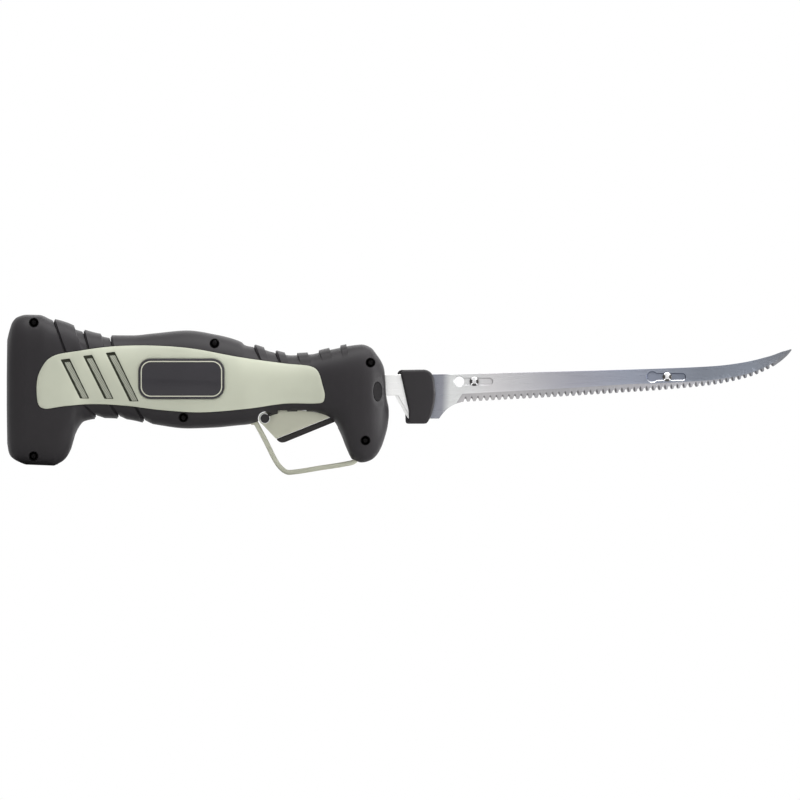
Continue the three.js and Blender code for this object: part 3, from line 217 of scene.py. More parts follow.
# The step from the tang down to the blade's root
SHOULDER = [
    (COLLAR_FRONT - 21.3, TANG_BOTTOM), (COLLAR_FRONT - 15.9, 35.6), (COLLAR_FRONT - 13.5, RICASSO),
]
TOOTH_PITCH = 3.55
# A tooth and the gullet ahead of it: share of the pitch, share of the gullet's depth
TOOTH_SHAPE = [
    (0, 0), (0.28, 0), (0.4, 0.1), (0.49, 0.42), (0.57, 0.8),
    (0.66, 1), (0.76, 0.97), (0.85, 0.6), (0.92, 0.2),
]
# The blade's edge and its spine: share of the length ahead of the collar, and height
EDGE_LINE = [
    (0.072, 41.6), (0.116, 42.1), (0.350, 44.7), (0.534, 47.1), (0.631, 48.4),
    (0.744, 50.5), (0.800, 52.1), (0.868, 55.1), (0.912, 58.2), (0.948, 61.8),
]
SPINE_LINE = [
    (0.999, 71.8), (0.975, 70.4), (0.934, 67.5), (0.857, 63.9),
    (0.744, 61.6), (0.464, 59.6), (0.183, 58.2), (0, 57.3),
]
# Ground band along the edge: its width, how far it starts behind the teeth, and its start's slant
LAND = 4.6
BAND_LEAD = 2.4
BAND_SLANT = 0.68
# Places of a blade's materials in its list; the cut walls carry painted shade, the lip a painted highlight
# and the inner face a little painted shade
BLADE_FLAT, BLADE_GROUND, BLADE_CUT, BLADE_LIP_HIGHLIGHT, BLADE_INNER = range(5)
# Keyholes: places of the rivets, x and z; then reach back, round radius, reach ahead, half width
BLADE_SLOTS = [(COLLAR_FRONT + 24.1, 53.3), (COLLAR_FRONT + 0.6606 * BLADE_LENGTH, 55.9)]
KEYHOLE = (10.5, 2.85, 6.6, 1.75)
# Half width of the collar pair, and its side outline: a straight run to each place, or a bend
# round a control place in a number of steps; x runs from the collar's front
COLLAR_HALF = 7.6
COLLAR_START = (-19.7, 56.8)
COLLAR_RUNS = [
    ((-16.9, 59.9), (-19.7, 59.8), 8), ((-6.5, 60.1), None, 0), ((-0.7, 54), (-1.5, 59.6), 10),
    ((0, 46.4), None, 0), ((-0.4, 41.8), None, 0), ((-4.9, 29.6), (-1.9, 33), 10),
    ((-6.9, 29.2), (-5.7, 29.2), 5), ((-13.3, 29.2), None, 0), ((-15.1, 31), (-15.1, 29.2), 6),
    ((-15.3, 37), None, 0),
]


def work_matrix():
    """Where the working frame sits in the row frame, from the trigger's own pivot."""
    joint = next(j for j in frame["joints"] if j["name"] == "trigger_pull")
    turn = Matrix.Rotation(-STAND, 4, "Y")
    corner = turn @ Vector((PIVOT[0] * MM, 0, PIVOT[1] * MM))
    return Matrix.Translation(Vector(joint["pos_m"]) - corner) @ turn


WORK = work_matrix()


class KnifeSettings(PropertyGroup):
    """Sizes and colours of the knife that a user would change."""

    casing_colour: FloatVectorProperty(
        name="Casing", description="Dark rubbery casing, collars and buttons",
        subtype="COLOR", size=3, min=0, max=1, default=(0.0185, 0.0165, 0.0185))
    panel_colour: FloatVectorProperty(
        name="Grip panel", description="Pale sage panels in the sides of the grip",
        subtype="COLOR", size=3, min=0, max=1, default=(0.53, 0.55, 0.445))
    trim_colour: FloatVectorProperty(
        name="Trigger and guard", description="Pale moulding of the trigger and its guard",
        subtype="COLOR", size=3, min=0, max=1, default=(0.6, 0.605, 0.49))
    plate_colour: FloatVectorProperty(
        name="Name plate", description="Bare dark plate on the right panel",
        subtype="COLOR", size=3, min=0, max=1, default=(0.024, 0.022, 0.027))
    pad_colour: FloatVectorProperty(
        name="Trigger pad", description="Dark finger pad under the trigger",
        subtype="COLOR", size=3, min=0, max=1, default=(0.022, 0.02, 0.02))
    steel_colour: FloatVectorProperty(
        name="Blade steel", description="Tint of the bare steel",
        subtype="COLOR", size=3, min=0, max=1, default=(1.0, 1.0, 1.0))
    rib_height: FloatProperty(
        name="Rib height", description="How far the neck ribs stand above the back",
        subtype="DISTANCE", unit="LENGTH", default=0.0013, min=0.0003, max=0.002)
    groove_depth: FloatProperty(
        name="Groove depth", description="Depth of the thin lines behind the ribs",
        subtype="DISTANCE", unit="LENGTH", default=0.001, min=0.0002, max=0.0015)
    tooth_depth: FloatProperty(
        name="Tooth depth", description="Depth of the gullets between the blade's teeth",
        subtype="DISTANCE", unit="LENGTH", default=0.0018, min=0.0008, max=0.0022)
    edge_round: FloatProperty(
        name="Edge rounding", description="Rounding of the moulded edges",
        subtype="DISTANCE", unit="LENGTH", default=0.0005, min=0.0001, max=0.001)
    grain: FloatProperty(
        name="Grain", description="Strength of the moulded grain on the casing",
        subtype="FACTOR", default=0.35, min=0, max=1)


def settings():
    return bpy.context.scene.fillet_knife


# Curves and outlines

def smoothstep(low, high, value):
    t = np.clip((np.asarray(value, float) - low) / (high - low), 0, 1)
    return t * t * (3 - 2 * t)


def curve_through(points, per, closed=False, even=False):
    """Smooth curve through points, with `per` steps between two of them."""
    p = np.array(points, float)
    if closed:
        p = np.vstack([p[-1], p, p[0], p[1]])
    elif even:
        p = np.vstack([p[0], p, p[-1]])
    else:
        p = np.vstack([2 * p[0] - p[1], p, 2 * p[-1] - p[-2]])
    t = np.linspace(0, 1, per, endpoint=False)[:, None]
    made = []
    for a, b, c, d in zip(p, p[1:], p[2:], p[3:]):
        spans = [1.0, 1.0, 1.0]
        if not even:
            spans = [math.sqrt(np.linalg.norm(v)) for v in (b - a, c - b, d - c)]
        s0, s1, s2 = spans
        out = ((b - a) / s0 - (c - a) / (s0 + s1) + (c - b) / s1) * s1
        into = ((c - b) / s1 - (d - b) / (s1 + s2) + (d - c) / s2) * s1
        made.append((2 * t**3 - 3 * t**2 + 1) * b + (t**3 - 2 * t**2 + t) * out
                    + (3 * t**2 - 2 * t**3) * c + (t**3 - t**2) * into)
    made = np.vstack(made)
    return made if closed else np.vstack([made, p[-2]])


def run_length(line):
    return np.concatenate([[0], np.cumsum(np.linalg.norm(np.diff(line, axis=0), axis=1))])


def at_shares(line, shares):
    """Points of a line at shares of its length."""
    run = run_length(line)
    want = np.asarray(shares, float) * run[-1]
    return np.column_stack([np.interp(want, run, line[:, k]) for k in range(line.shape[1])])


def spaced(points, step, closed=True):
    """Straight outline cut into steps no longer than `step`; its corners stay."""
    p = [np.array(q, float) for q in points]
    pairs = list(zip(p, p[1:] + p[:1])) if closed else list(zip(p, p[1:]))
    made = []
    for a, b in pairs:
        count = max(1, math.ceil(np.linalg.norm(b - a) / step))
        made.extend(a + (b - a) * k / count for k in range(count))
    if not closed:
        made.append(p[-1])
    return np.array(made)


def quad_curve(a, b, c, steps):
    t = np.linspace(0, 1, steps, endpoint=False)[1:, None]
    return (1 - t)**2 * np.array(a) + 2 * t * (1 - t) * np.array(b) + t * t * np.array(c)


def arc(x, z, radius_x, radius_z, start, end, steps, closed=False):
    turn = np.radians(np.linspace(start, end, steps, endpoint=not closed))
    return np.column_stack([x + radius_x * np.cos(turn), z + radius_z * np.sin(turn)])


def oval(x, z, radius_x, radius_z, steps):
    return arc(x, z, radius_x, radius_z, 0, 360, steps, True)


def round_box(x, z, half_x, half_z, corner, steps):
    """Upright box outline with round corners."""
    made = []
    for sx, sz, start in ((1, 1, 0), (-1, 1, 90), (-1, -1, 180), (1, -1, 270)):
        middle = (x + sx * (half_x - corner), z + sz * (half_z - corner))
        made.append(arc(*middle, corner, corner, start, start + 90, steps))
    return np.vstack(made)


def softened(points, radius, step):
    """Straight outline with its corners rounded."""
    p = [np.array(q, float) for q in points]
    made = []
    for i, corner in enumerate(p):
        before, after = p[i - 1], p[(i + 1) % len(p)]
        back, ahead = np.linalg.norm(before - corner), np.linalg.norm(after - corner)
        reach = min(radius, 0.45 * back, 0.45 * ahead)
        a = corner + (before - corner) / back * reach
        b = corner + (after - corner) / ahead * reach
        made.append(a)
        made.extend(quad_curve(a, corner, b, 5))
        made.append(b)
    return spaced(made, step)


def turned(loop, left=True):
    """The loop running with its material on the left, for an outline or for a hole."""
    x, z = loop[:, 0], loop[:, 1]
    area = np.sum(x * np.roll(z, -1) - np.roll(x, -1) * z)
    return loop if (area > 0) == left else loop[::-1]


def inset(loop, distance):
    run = np.roll(loop, -1, 0) - np.roll(loop, 1, 0)
    run = run / np.maximum(np.linalg.norm(run, axis=1), 1e-9)[:, None]
    return loop + distance * np.column_stack([-run[:, 1], run[:, 0]])


def covers(loops, points):
    """Which points lie inside an odd number of the loops."""
    inside = np.zeros(len(points), bool)
    for loop in loops:
        a, b = loop, np.roll(loop, -1, 0)
        for first in range(0, len(points), 4000):
            x = points[first:first + 4000, :1]
            z = points[first:first + 4000, 1:]
            crosses = (a[:, 1] > z) != (b[:, 1] > z)
            rise = np.where(b[:, 1] == a[:, 1], 1e-12, b[:, 1] - a[:, 1])
            hits = crosses & (x < (b[:, 0] - a[:, 0]) * (z - a[:, 1]) / rise + a[:, 0])
            inside[first:first + 4000] ^= hits.sum(1) % 2 == 1
    return inside


def nearest(points, line):
    """Distance from each point to the nearest point of a line, and its place on it."""
    distance = np.empty(len(points))
    place = np.empty(len(points), int)
    for first in range(0, len(points), 2000):
        gap = np.linalg.norm(points[first:first + 2000, None] - line[None], axis=2)
        place[first:first + 2000] = gap.argmin(1)
        distance[first:first + 2000] = gap.min(1)
    return distance, place


# The handle's form

def row_value(column, x):
    """Smooth value of one column of the handle rows, without overshoot."""
    xs, ys = HANDLE_ROWS[:, 0], HANDLE_ROWS[:, column]
    at = np.clip(np.asarray(x, float), xs[0], xs[-1])
    slope = np.diff(ys) / np.diff(xs)
    before, after = slope[:-1], slope[1:]
    same = before * after > 0
    inner = np.where(same, 2 * before * after / np.where(same, before + after, 1), 0)
    tangent = np.concatenate([slope[:1], inner, slope[-1:]])
    i = np.clip(np.searchsorted(xs, at, side="right") - 1, 0, len(xs) - 2)
    width = xs[i + 1] - xs[i]
    t = (at - xs[i]) / width
    rise = (1 + 2 * t) * (1 - t)**2 * ys[i] + t * t * (3 - 2 * t) * ys[i + 1]
    return rise + width * (t * (1 - t)**2 * tangent[i] - t * t * (1 - t) * tangent[i + 1])


def handle_section(x, grow=0.0):
    """Back, belly, half width and squareness of the handle at x, grown or shrunk evenly."""
    if grow == 0:
        return [row_value(k, x) for k in (1, 2, 3, 4)]
    reach, sign = abs(grow), math.copysign(1, grow)
    turns = np.linspace(0, math.pi, 7)
    made = []
    for column, side in ((1, 1), (2, -1), (3, 1)):
        tries = [side * row_value(column, x + reach * math.cos(t)) + sign * reach * math.sin(t)
                 for t in turns]
        best = np.maximum.reduce(tries) if sign > 0 else np.minimum.reduce(tries)
        made.append(side * best)
    return [*made, row_value(4, x)]


def side_depth(grow=0.0):
    """How far the handle's side stands from the middle plane at x, z."""
    def depth(x, z):
        top, bottom, half, square = handle_section(x, grow)
        share = np.clip(np.abs((z - (top + bottom) / 2) / ((top - bottom) / 2)), 0, 0.9999)
        return half * (1 - share**square)**(1 / square)
    return depth


def lean_of(u):
    """How far the grooves lean forward for each millimetre down the back and up the belly."""
    back = np.interp(u, [-202, -189.6, -172.6, -157.2, -138, -92, -76, -40, -22, -10],
                     [0, 0.37, 0.26, 0.2, 0, 0.1, 0.5, 0.45, 0.2, 0])
    belly = np.interp(u, [-178, -165.6, -152.7, -138.2, -112], [0, 0.82, 0.64, 0.63, 0])
    return back, belly


def thin_line(away):
    """Share of a thin line's depth at a distance from its middle."""
    return 1 - smoothstep(LINE_FLOOR, LINE_EDGE, np.abs(away))


def relief(u, down, up):
    """Height of the grooves and ribs over the plain handle; down and up run from back and belly."""
    height = np.zeros(np.broadcast(u, down).shape)
    groove = settings().groove_depth / MM
    rib = settings().rib_height / MM
    for x, run, start, end, reach in BACK_DIPS:
        fade = 1 - smoothstep(reach * 0.9, reach + 4, down)
        share = np.clip((u - x + run) / run, 0, 1)
        dip = np.where(u <= x, (start + (end - start) * share) * smoothstep(0, 0.16, share), 0)
        side = 0.25 + 0.75 * (1 - smoothstep(1.5, 9, down))
        notch = groove * thin_line(u - x)
        height = height - dip * side * fade - notch * fade
    for x, depth, run, reach in BELLY_LINES:
        fade = 1 - smoothstep(reach * 0.85, reach + 3, up)
        ahead = np.where(u > x, np.clip(1 - (u - x) / run, 0, 1), 0) * -depth
        behind = np.where(u <= x, np.clip((u - x + 9) / 9, 0, 1), 0) * 0.35
        notch = -groove * thin_line(u - x)
        height = height + (ahead + behind) * fade * (1 - 0.6 * smoothstep(0, 4, up)) + notch * fade
    for x, width, reach in NECK_RIBS:
        over = 1 - smoothstep(1.6, 5.2, down)
        height = height + np.where(np.abs(u - x) <= width / 2, rib, 0) * over
        if reach > 0:
            line = x - width / 2
            fade = 1 - smoothstep(reach * 0.9, reach + 2.5, down)
            step = np.where(u > line, np.clip(1 - (u - line) / 9, 0, 1), 0) * 0.35
            notch = -groove * thin_line(u - line - 0.1)
            height = height + (step + notch * smoothstep(-1, 1.5, down)) * fade
    return height


def handle_columns():
    """Places of the loft's columns: close together at every groove and rib edge."""
    keen = []
    line_edges = np.array((-LINE_EDGE, -LINE_FLOOR, LINE_FLOOR, LINE_EDGE))
    for x, run, *_ in BACK_DIPS:
        keen += [x - run, x - run * 0.92, x - run * 0.84, x, x + 0.01, *(x + line_edges)]
    for x, _, run, _ in BELLY_LINES:
        keen += [x - 9, x, x + 0.01, x + run, *(x + line_edges)]
    for x, width, reach in NECK_RIBS:
        for edge in (x - width / 2, x + width / 2):
            keen += [edge - 0.06, edge + 0.06]
        if reach > 0:
            keen += list(x - width / 2 + 0.1 + line_edges)
    keen = sorted(set(round(k, 4) for k in keen))
    first, last = HANDLE_ROWS[0, 0], HANDLE_ROWS[-1, 0]
    heel, nose = np.linspace(first, -207, 14), np.linspace(-6, last, 16)
    plain = np.concatenate([heel, np.arange(-206, -6, 1.2), nose])
    kept = [p for p in plain if min(abs(p - k) for k in keen) > 0.25]
    return np.array(sorted(kept + keen))


def handle_skin(columns, around, grow=0.0, ribbed=False):
    """Points and faces of the handle as one closed body."""
    turn = 2 * math.pi * np.arange(around) / around
    c, s = np.cos(turn)[None], np.sin(turn)[None]
    u = np.asarray(columns, float)[:, None]
    x = u + 0 * c
    square = row_value(4, u)
    reach = (np.abs(c)**square + np.abs(s)**square)**(-1 / square)
    tall = (row_value(1, u) - row_value(2, u)) / 2
    down, up = (1 - s * reach) * tall, (1 + s * reach) * tall
    if ribbed:
        back, belly = lean_of(u)

        def near(away):
            return away * (1 - smoothstep(0.45, 1, away / tall))
        x = u + back * near(down) - belly * near(up)
    top, bottom, half, square = handle_section(x, grow)
    reach = (np.abs(c)**square + np.abs(s)**square)**(-1 / square)
    middle, tall = (top + bottom) / 2, (top - bottom) / 2
    y, z = half * c * reach, middle + tall * s * reach
    if ribbed:
        ny = np.sign(c) * np.abs(c * reach)**(square - 1) / half
        nz = np.sign(s) * np.abs(s * reach)**(square - 1) / tall
        size = np.hypot(ny, nz)
        height = relief(u, down, up)
        round_button = ((x - BUTTON[0] - 1.2) / 4.4)**2 + ((z - BUTTON[1] + 0.8) / 8.4)**2
        height = height - BUTTON_SUNK * (1 - smoothstep(0.3, 1.0, round_button)) * (np.abs(c) > 0.2)
        y, z = y + height * ny / size, z + height * nz / size
        brow = np.interp(z, *zip(*HEEL_BROW))
        rolled = np.clip(1 - (brow - x) / HEEL_ROLL, 0, 1)**2
        rolled = rolled * (1 - smoothstep(26, 33, z)) * (x < -160)
        y = y * (1 - 0.11 * rolled)
    rings = [np.stack([x[i], y[i], z[i]], 1) for i in range(len(columns))]
    ends = []
    for ring, out in ((rings[0], -1), (rings[-1], 1)):
        centre = ring.mean(0)
        inner = []
        for share in (0.94, 0.8, 0.55, 0.27):
            small = centre + (ring - centre) * share
            small[:, 0] += out * (0.3 if ribbed else 0) * (1 - share**2)
            inner.append(small)
        ends.append(inner)
    rings = ends[0][::-1] + rings + ends[1]
    return np.vstack(rings), ring_faces(len(rings), around)


def plain_handle(name, trim, columns, around, grow):
    """The handle without its relief as a tool, cut short at both ends by a trim."""
    xs = np.linspace(HANDLE_ROWS[0, 0] + trim, HANDLE_ROWS[-1, 0] - trim, columns)
    return new_piece(name, *handle_skin(xs, around, grow))


# Meshes

def ring_faces(rings, around):
    """Faces of a closed body of rings: the walls between them, then its two ends."""
    faces = []
    for i in range(rings - 1):
        for j in range(around):
            k = (j + 1) % around
            faces.append((i * around + j, i * around + k, (i + 1) * around + k, (i + 1) * around + j))
    faces.append(tuple(range(around - 1, -1, -1)))
    faces.append(tuple(range((rings - 1) * around, rings * around)))
    return faces


def filled(triangles, source, within):
    """The triangles within rims: by the rim's direction along a rim, elsewhere by their neighbours."""
    sides = [((a, b), (b, c), (c, a)) for a, b, c in triangles]
    owner = {side: k for k, three in enumerate(sides) for side in three}
    inside, waiting = {}, []
    for k, three in enumerate(sides):
        votes = [within[source[i], source[j]] for i, j in three if (source[i], source[j]) in within]
        if votes:
            inside[k] = any(votes)
            waiting.append(k)
    while waiting:
        k = waiting.pop()
        for i, j in sides[k]:
            beside = owner.get((j, i))
            if beside is not None and beside not in inside and (source[i], source[j]) not in within:
                inside[beside] = inside[k]
                waiting.append(beside)
    return [three for k, three in enumerate(triangles) if inside.get(k)]


class Skin:
    """A closed mesh of rings, walls and caps, drawn on the side view with a depth out from the middle."""

    def __init__(self, side=-1):
        self.side = side
        self.points = []
        self.faces = []
        self.marks = []

    def ring(self, loop, depth, drop=0.0):
        deep = depth(loop[:, 0], loop[:, 1]) if callable(depth) else np.full(len(loop), float(depth))
        first = len(self.points)
        self.points.extend(zip(loop[:, 0], deep - drop, loop[:, 1]))
        return list(range(first, len(self.points)))

    def wall(self, a, b, mark=0):
        for i in range(len(a)):
            j = (i + 1) % len(a)
            self.faces.append((a[i], a[j], b[j], b[i]))
            self.marks.append(mark)

    def walls(self, rings, mark=0):
        for a, b in zip(rings, rings[1:]):
            self.wall(a, b, mark)

    def rim(self, loop, face, floor, edge):
        """A rounded rim from the face down to the floor; gives its first and its last ring."""
        rings = [self.ring(inset(loop, i), face, d) for i, d in edge]
        rings.append(self.ring(loop, floor))
        self.walls(rings)
        return rings[0], rings[-1]

    def cap(self, rings, depth, spacing=0.0, lines=(), extra=None, mark=0):
        """Fills the face between rings with triangles, through a grid, extra points and crease lines."""
        loops = [np.array([(self.points[i][0], self.points[i][2]) for i in ring]) for ring in rings]
        known = [i for ring in rings for i in ring]
        parts, edges, within, at = list(loops), [], {}, 0
        for loop in loops:
            ahead = (turned(loop) is loop) == (loop is loops[0])
            for i in range(len(loop)):
                a, b = at + i, at + (i + 1) % len(loop)
                edges.append((a, b))
                within[a, b], within[b, a] = ahead, not ahead
            at += len(loop)
        for line in lines:
            edges += [(at + i, at + i + 1) for i in range(len(line) - 1)]
            at += len(line)
            parts.append(np.asarray(line))
        loose = [] if extra is None else [(extra, 0.25)]
        if spacing:
            low, high = loops[0].min(0), loops[0].max(0)
            gx, gz = np.meshgrid(np.arange(low[0] + spacing / 3, high[0], spacing),
                                 np.arange(low[1] + spacing / 3, high[1], spacing * 0.87))
            gx[1::2] += spacing / 2
            loose.append((np.column_stack([gx.ravel(), gz.ravel()]), max(0.25, 0.45 * spacing)))
        for grid, clear in loose:
            grid = grid[covers(loops, grid)]
            if len(grid):
                gap, _ = nearest(grid, np.vstack(parts))
                parts.append(grid[gap > clear])
        flat = np.vstack(parts)
        flat = [Vector(p) for p in flat]
        made, _, triangles, origin, _, _ = delaunay_2d_cdt(flat, edges, [], 0, 1e-6)
        made = np.array([(v.x, v.y) for v in made])
        source = [min(o, default=-1) for o in origin]
        keep = np.array(filled(triangles, source, within))
        index = {}
        for k in np.unique(keep):
            if 0 <= source[k] < len(known):
                index[k] = known[source[k]]
            else:
                x, z = made[k]
                deep = depth(np.array([x]), np.array([z]))[0] if callable(depth) else depth
                index[k] = len(self.points)
                self.points.append((x, deep, z))
        for a, b, c in keep:
            self.faces.append((index[a], index[b], index[c]))
            self.marks.append(mark)

    def slab(self, outer, holes, face, back, edge, back_edge=((0, 0),), spacing=0.0, lines=(), extra=None,
             broken=None, hole_edge=None, wall_mark=0, back_mark=0):
        """A plate between two depths with rounded rims; edge lists inset and drop from face to wall, and
        broken tells for each point of the outer loop how much of the rim it has."""
        loops = [turned(outer)] + [turned(h, False) for h in holes]
        first, last = [], []
        for loop in loops:
            share, rim, back_rim = np.ones(len(loop)), edge, back_edge
            if loop is not loops[0]:
                rim = hole_edge or edge
                back_rim = rim[::-1] if len(back_edge) > 1 else back_edge
            elif broken is not None:
                share = broken if loop is outer else broken[::-1]
            rings = [self.ring(inset(loop, i * share[:, None]), face, d * share) for i, d in rim]
            rings += [self.ring(inset(loop, i * share[:, None]), back, -d * share) for i, d in back_rim]
            self.walls(rings, wall_mark)
            first.append(rings[0])
            last.append(rings[-1])
        self.cap(first, face, spacing, lines, extra)
        self.cap(last, back, spacing if callable(back) else 0, mark=back_mark)
        return self

    def build(self, name):
        points = np.array([(x, self.side * d, z) for x, d, z in self.points])
        return new_piece(name, points, self.faces, self.marks)


def rounded(radius, steps=3):
    """Inset and drop of a rounded rim, from the face to the wall."""
    turns = np.linspace(0, math.pi / 2, steps + 1)
    return [(radius * (1 - math.sin(t)), radius * (1 - math.cos(t))) for t in turns]


def new_piece(name, points, faces, marks=None):
    """A mesh object in the working frame, from points in millimetres."""
    mesh = bpy.data.meshes.new(name)
    corners = [tuple(p) for p in np.asarray(points) * MM]
    mesh.from_pydata(corners, [], [tuple(int(i) for i in f) for f in faces])
    if marks is not None and any(marks):
        mesh.polygons.foreach_set("material_index", np.array(marks, np.int32))
    work = bmesh.new()
    work.from_mesh(mesh)
    bmesh.ops.remove_doubles(work, verts=work.verts, dist=2e-7)
    bmesh.ops.recalc_face_normals(work, faces=work.faces)
    work.to_mesh(mesh)
    work.free()
    piece = bpy.data.objects.new(name, mesh)
    bpy.context.scene.collection.objects.link(piece)
    piece.matrix_world = WORK
    return piece


def block(name, low, high):
    """A square-cornered cutter."""
    x, y, z = zip(low, high)
    points = [(x[i], y[j], z[k]) for i in (0, 1) for j in (0, 1) for k in (0, 1)]
    faces = [(0, 1, 3, 2), (4, 6, 7, 5), (0, 4, 5, 1), (2, 3, 7, 6), (0, 2, 6, 4), (1, 5, 7, 3)]
    return new_piece(name, points, faces)


def bar(name, loop, low, high):
    """A bar across the knife with a given side outline, between two values of y."""
    loop = turned(np.asarray(loop, float))
    points = [(x, y, z) for y in (low, high) for x, z in loop]
    return new_piece(name, points, ring_faces(2, len(loop)))


def rod(name, x, z, radius, low, high, sides=40):
    return bar(name, oval(x, z, radius, radius, sides), low, high)


def swept(name, line, section):
    """A strap: its section of (out, across) points follows a line on the side view."""
    run = np.gradient(line, axis=0)
    run = run / np.linalg.norm(run, axis=1)[:, None]
    points = []
    for (x, z), (rx, rz) in zip(line, run):
        points.extend((x - rz * out, y, z + rx * out) for out, y in section)
    return new_piece(name, points, ring_faces(len(line), len(section)))


def lathed(profile, sides):
    """Points and faces turned about Y, from (radius, y) points that start and end on the axis."""
    points, faces = [(0, profile[0][1], 0)], []
    inner = profile[1:-1]
    for radius, y in inner:
        for k in range(sides):
            turn = 2 * math.pi * k / sides
            points.append((radius * math.cos(turn), y, radius * math.sin(turn)))
    points.append((0, profile[-1][1], 0))
    for i in range(len(inner) - 1):
        for k in range(sides):
            a, b = 1 + i * sides + k, 1 + i * sides + (k + 1) % sides
            faces.append((a, b, b + sides, a + sides))
    last = len(points) - 1
    for k in range(sides):
        faces.append((0, 1 + k, 1 + (k + 1) % sides))
        faces.append((last, last - sides + (k + 1) % sides, last - sides + k))
    return np.array(points), faces


def carve(piece, steps):
    """Cuts and joins solids in order, and keeps the result as the piece's own mesh."""
    for kind, tool in steps:
        cut = piece.modifiers.new(tool.name, "BOOLEAN")
        cut.operation = kind
        cut.object = tool
        cut.solver = "MANIFOLD"
    bpy.context.view_layer.update()
    solid = piece.evaluated_get(bpy.context.evaluated_depsgraph_get())
    mesh = bpy.data.meshes.new_from_object(solid)
    if not len(mesh.polygons):
        raise RuntimeError(f"{piece.name}: nothing is left after its cuts")
    piece.modifiers.clear()
    plain = piece.data
    piece.data = mesh
    bpy.data.meshes.remove(plain)
    mesh.name = piece.name
    for _, tool in steps:
        if tool.name in bpy.data.objects:
            bpy.data.objects.remove(tool)
    return piece


def fit_out(piece, body, nodes, materials, keen=32):
    """Shades the piece, gives it its materials and lets it ride on its body in place of its CAD nodes."""
    mesh = piece.data
    mesh.transform(piece.matrix_world)
    piece.matrix_world = Matrix.Identity(4)
    mesh.shade_smooth()
    mesh.set_sharp_from_angle(angle=math.radians(keen))
    kept = np.zeros(len(mesh.polygons), np.int32)
    mesh.polygons.foreach_get("material_index", kept)
    mesh.materials.clear()
    for material in materials:
        mesh.materials.append(material)
    mesh.polygons.foreach_set("material_index", np.minimum(kept, len(materials) - 1))
    mesh.update()
    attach(piece, body)
    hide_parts(*nodes)
    return piece


# Shared surface effects

def effect(name, inputs, outputs, wire):
    """A node group that puts out masks, heights or colours."""
    if name in bpy.data.node_groups:
        return bpy.data.node_groups[name]
    group = bpy.data.node_groups.new(name, "ShaderNodeTree")
    for label, kind, value in inputs:
        socket = group.interface.new_socket(name=label, in_out="INPUT", socket_type=kind)
        socket.default_value = value
    for label, kind in outputs:
        group.interface.new_socket(name=label, in_out="OUTPUT", socket_type=kind)
    entry, leave = group.nodes.new("NodeGroupInput"), group.nodes.new("NodeGroupOutput")
    wire(group, entry.outputs, leave.inputs)
    return group


def node(tree, kind, links=None, **values):
    """A node with its settings and its inputs: an input is a value or another node's output."""
    made = tree.nodes.new(kind)
    for key, value in values.items():
        setattr(made, key, value)
    for key, value in (links or {}).items():
        if isinstance(value, bpy.types.NodeSocket):
            tree.links.new(value, made.inputs[key])
        else:
            made.inputs[key].default_value = value
    return made


def place_in(tree):
    return node(tree, "ShaderNodeTexCoord").outputs["Object"]


def reckoned(tree, operation, a, b):
    return node(tree, "ShaderNodeMath", {0: a, 1: b}, operation=operation).outputs[0]


def mapped(tree, value, low, high, to_low=0.0, to_high=1.0):
    """A value of one range moved into another and held within it."""
    made = node(tree, "ShaderNodeMapRange", {"Value": value, "From Min": low, "From Max": high,
                                             "To Min": to_low, "To Max": to_high})
    return made.outputs["Result"]


def noise(tree, place, scale, detail, roughness=0.5):
    made = node(tree, "ShaderNodeTexNoise", {"Vector": place, "Scale": scale, "Detail": detail,
                                             "Roughness": roughness})
    return made.outputs["Fac"]


def blended(tree, share, a, b, **values):
    return node(tree, "ShaderNodeMix", {0: share, 6: a, 7: b}, data_type="RGBA", **values).outputs[2]


def ramped(tree, share, tints):
    """Colour at a share of the way along a row of (share, tint) stops."""
    ramp = node(tree, "ShaderNodeValToRGB", {"Fac": share})
    stops = ramp.color_ramp.elements
    while len(stops) < len(tints):
        stops.new(0.5)
    for stop, (place, tint) in zip(stops, tints):
        stop.position = place
        stop.color = (*tint, 1)
    return ramp.outputs["Color"]


def moulded_grain():
    def wire(tree, given, put):
        place = place_in(tree)
        fine = noise(tree, place, given["Scale"], 3.0, 0.6)
        cells = node(tree, "ShaderNodeTexVoronoi", {"Vector": place, "Scale": given["Scale"]})
        tree.links.new(reckoned(tree, "MULTIPLY", fine, cells.outputs["Distance"]), put["Height"])
    return effect("Moulded grain", [("Scale", "NodeSocketFloat", 1400.0)],
                  [("Height", "NodeSocketFloat")], wire)


def tone_drift():
    def wire(tree, given, put):
        broad = noise(tree, place_in(tree), given["Scale"], 4.0)
        low = reckoned(tree, "SUBTRACT", 1.0, given["Amount"])
        high = reckoned(tree, "ADD", 1.0, given["Amount"])
        swing = mapped(tree, broad, 0.3, 0.7, low, high)
        tint = node(tree, "ShaderNodeVectorMath", {0: given["Colour"], "Scale": swing}, operation="SCALE")
        tree.links.new(tint.outputs["Vector"], put["Colour"])
    return effect("Tone drift", [("Colour", "NodeSocketColor", (0.5, 0.5, 0.5, 1)),
                                 ("Scale", "NodeSocketFloat", 40.0), ("Amount", "NodeSocketFloat", 0.06)],
                  [("Colour", "NodeSocketColor")], wire)


def worn_edges():
    def wire(tree, given, put):
        bend = node(tree, "ShaderNodeNewGeometry").outputs["Pointiness"]
        patch = mapped(tree, noise(tree, place_in(tree), 160.0, 3.0), 0.35, 0.65)
        rubbed = reckoned(tree, "MULTIPLY", mapped(tree, bend, 0.52, 0.62), patch)
        tree.links.new(reckoned(tree, "MULTIPLY", rubbed, given["Amount"]), put["Mask"])
    return effect("Worn edges", [("Amount", "NodeSocketFloat", 0.5)], [("Mask", "NodeSocketFloat")], wire)


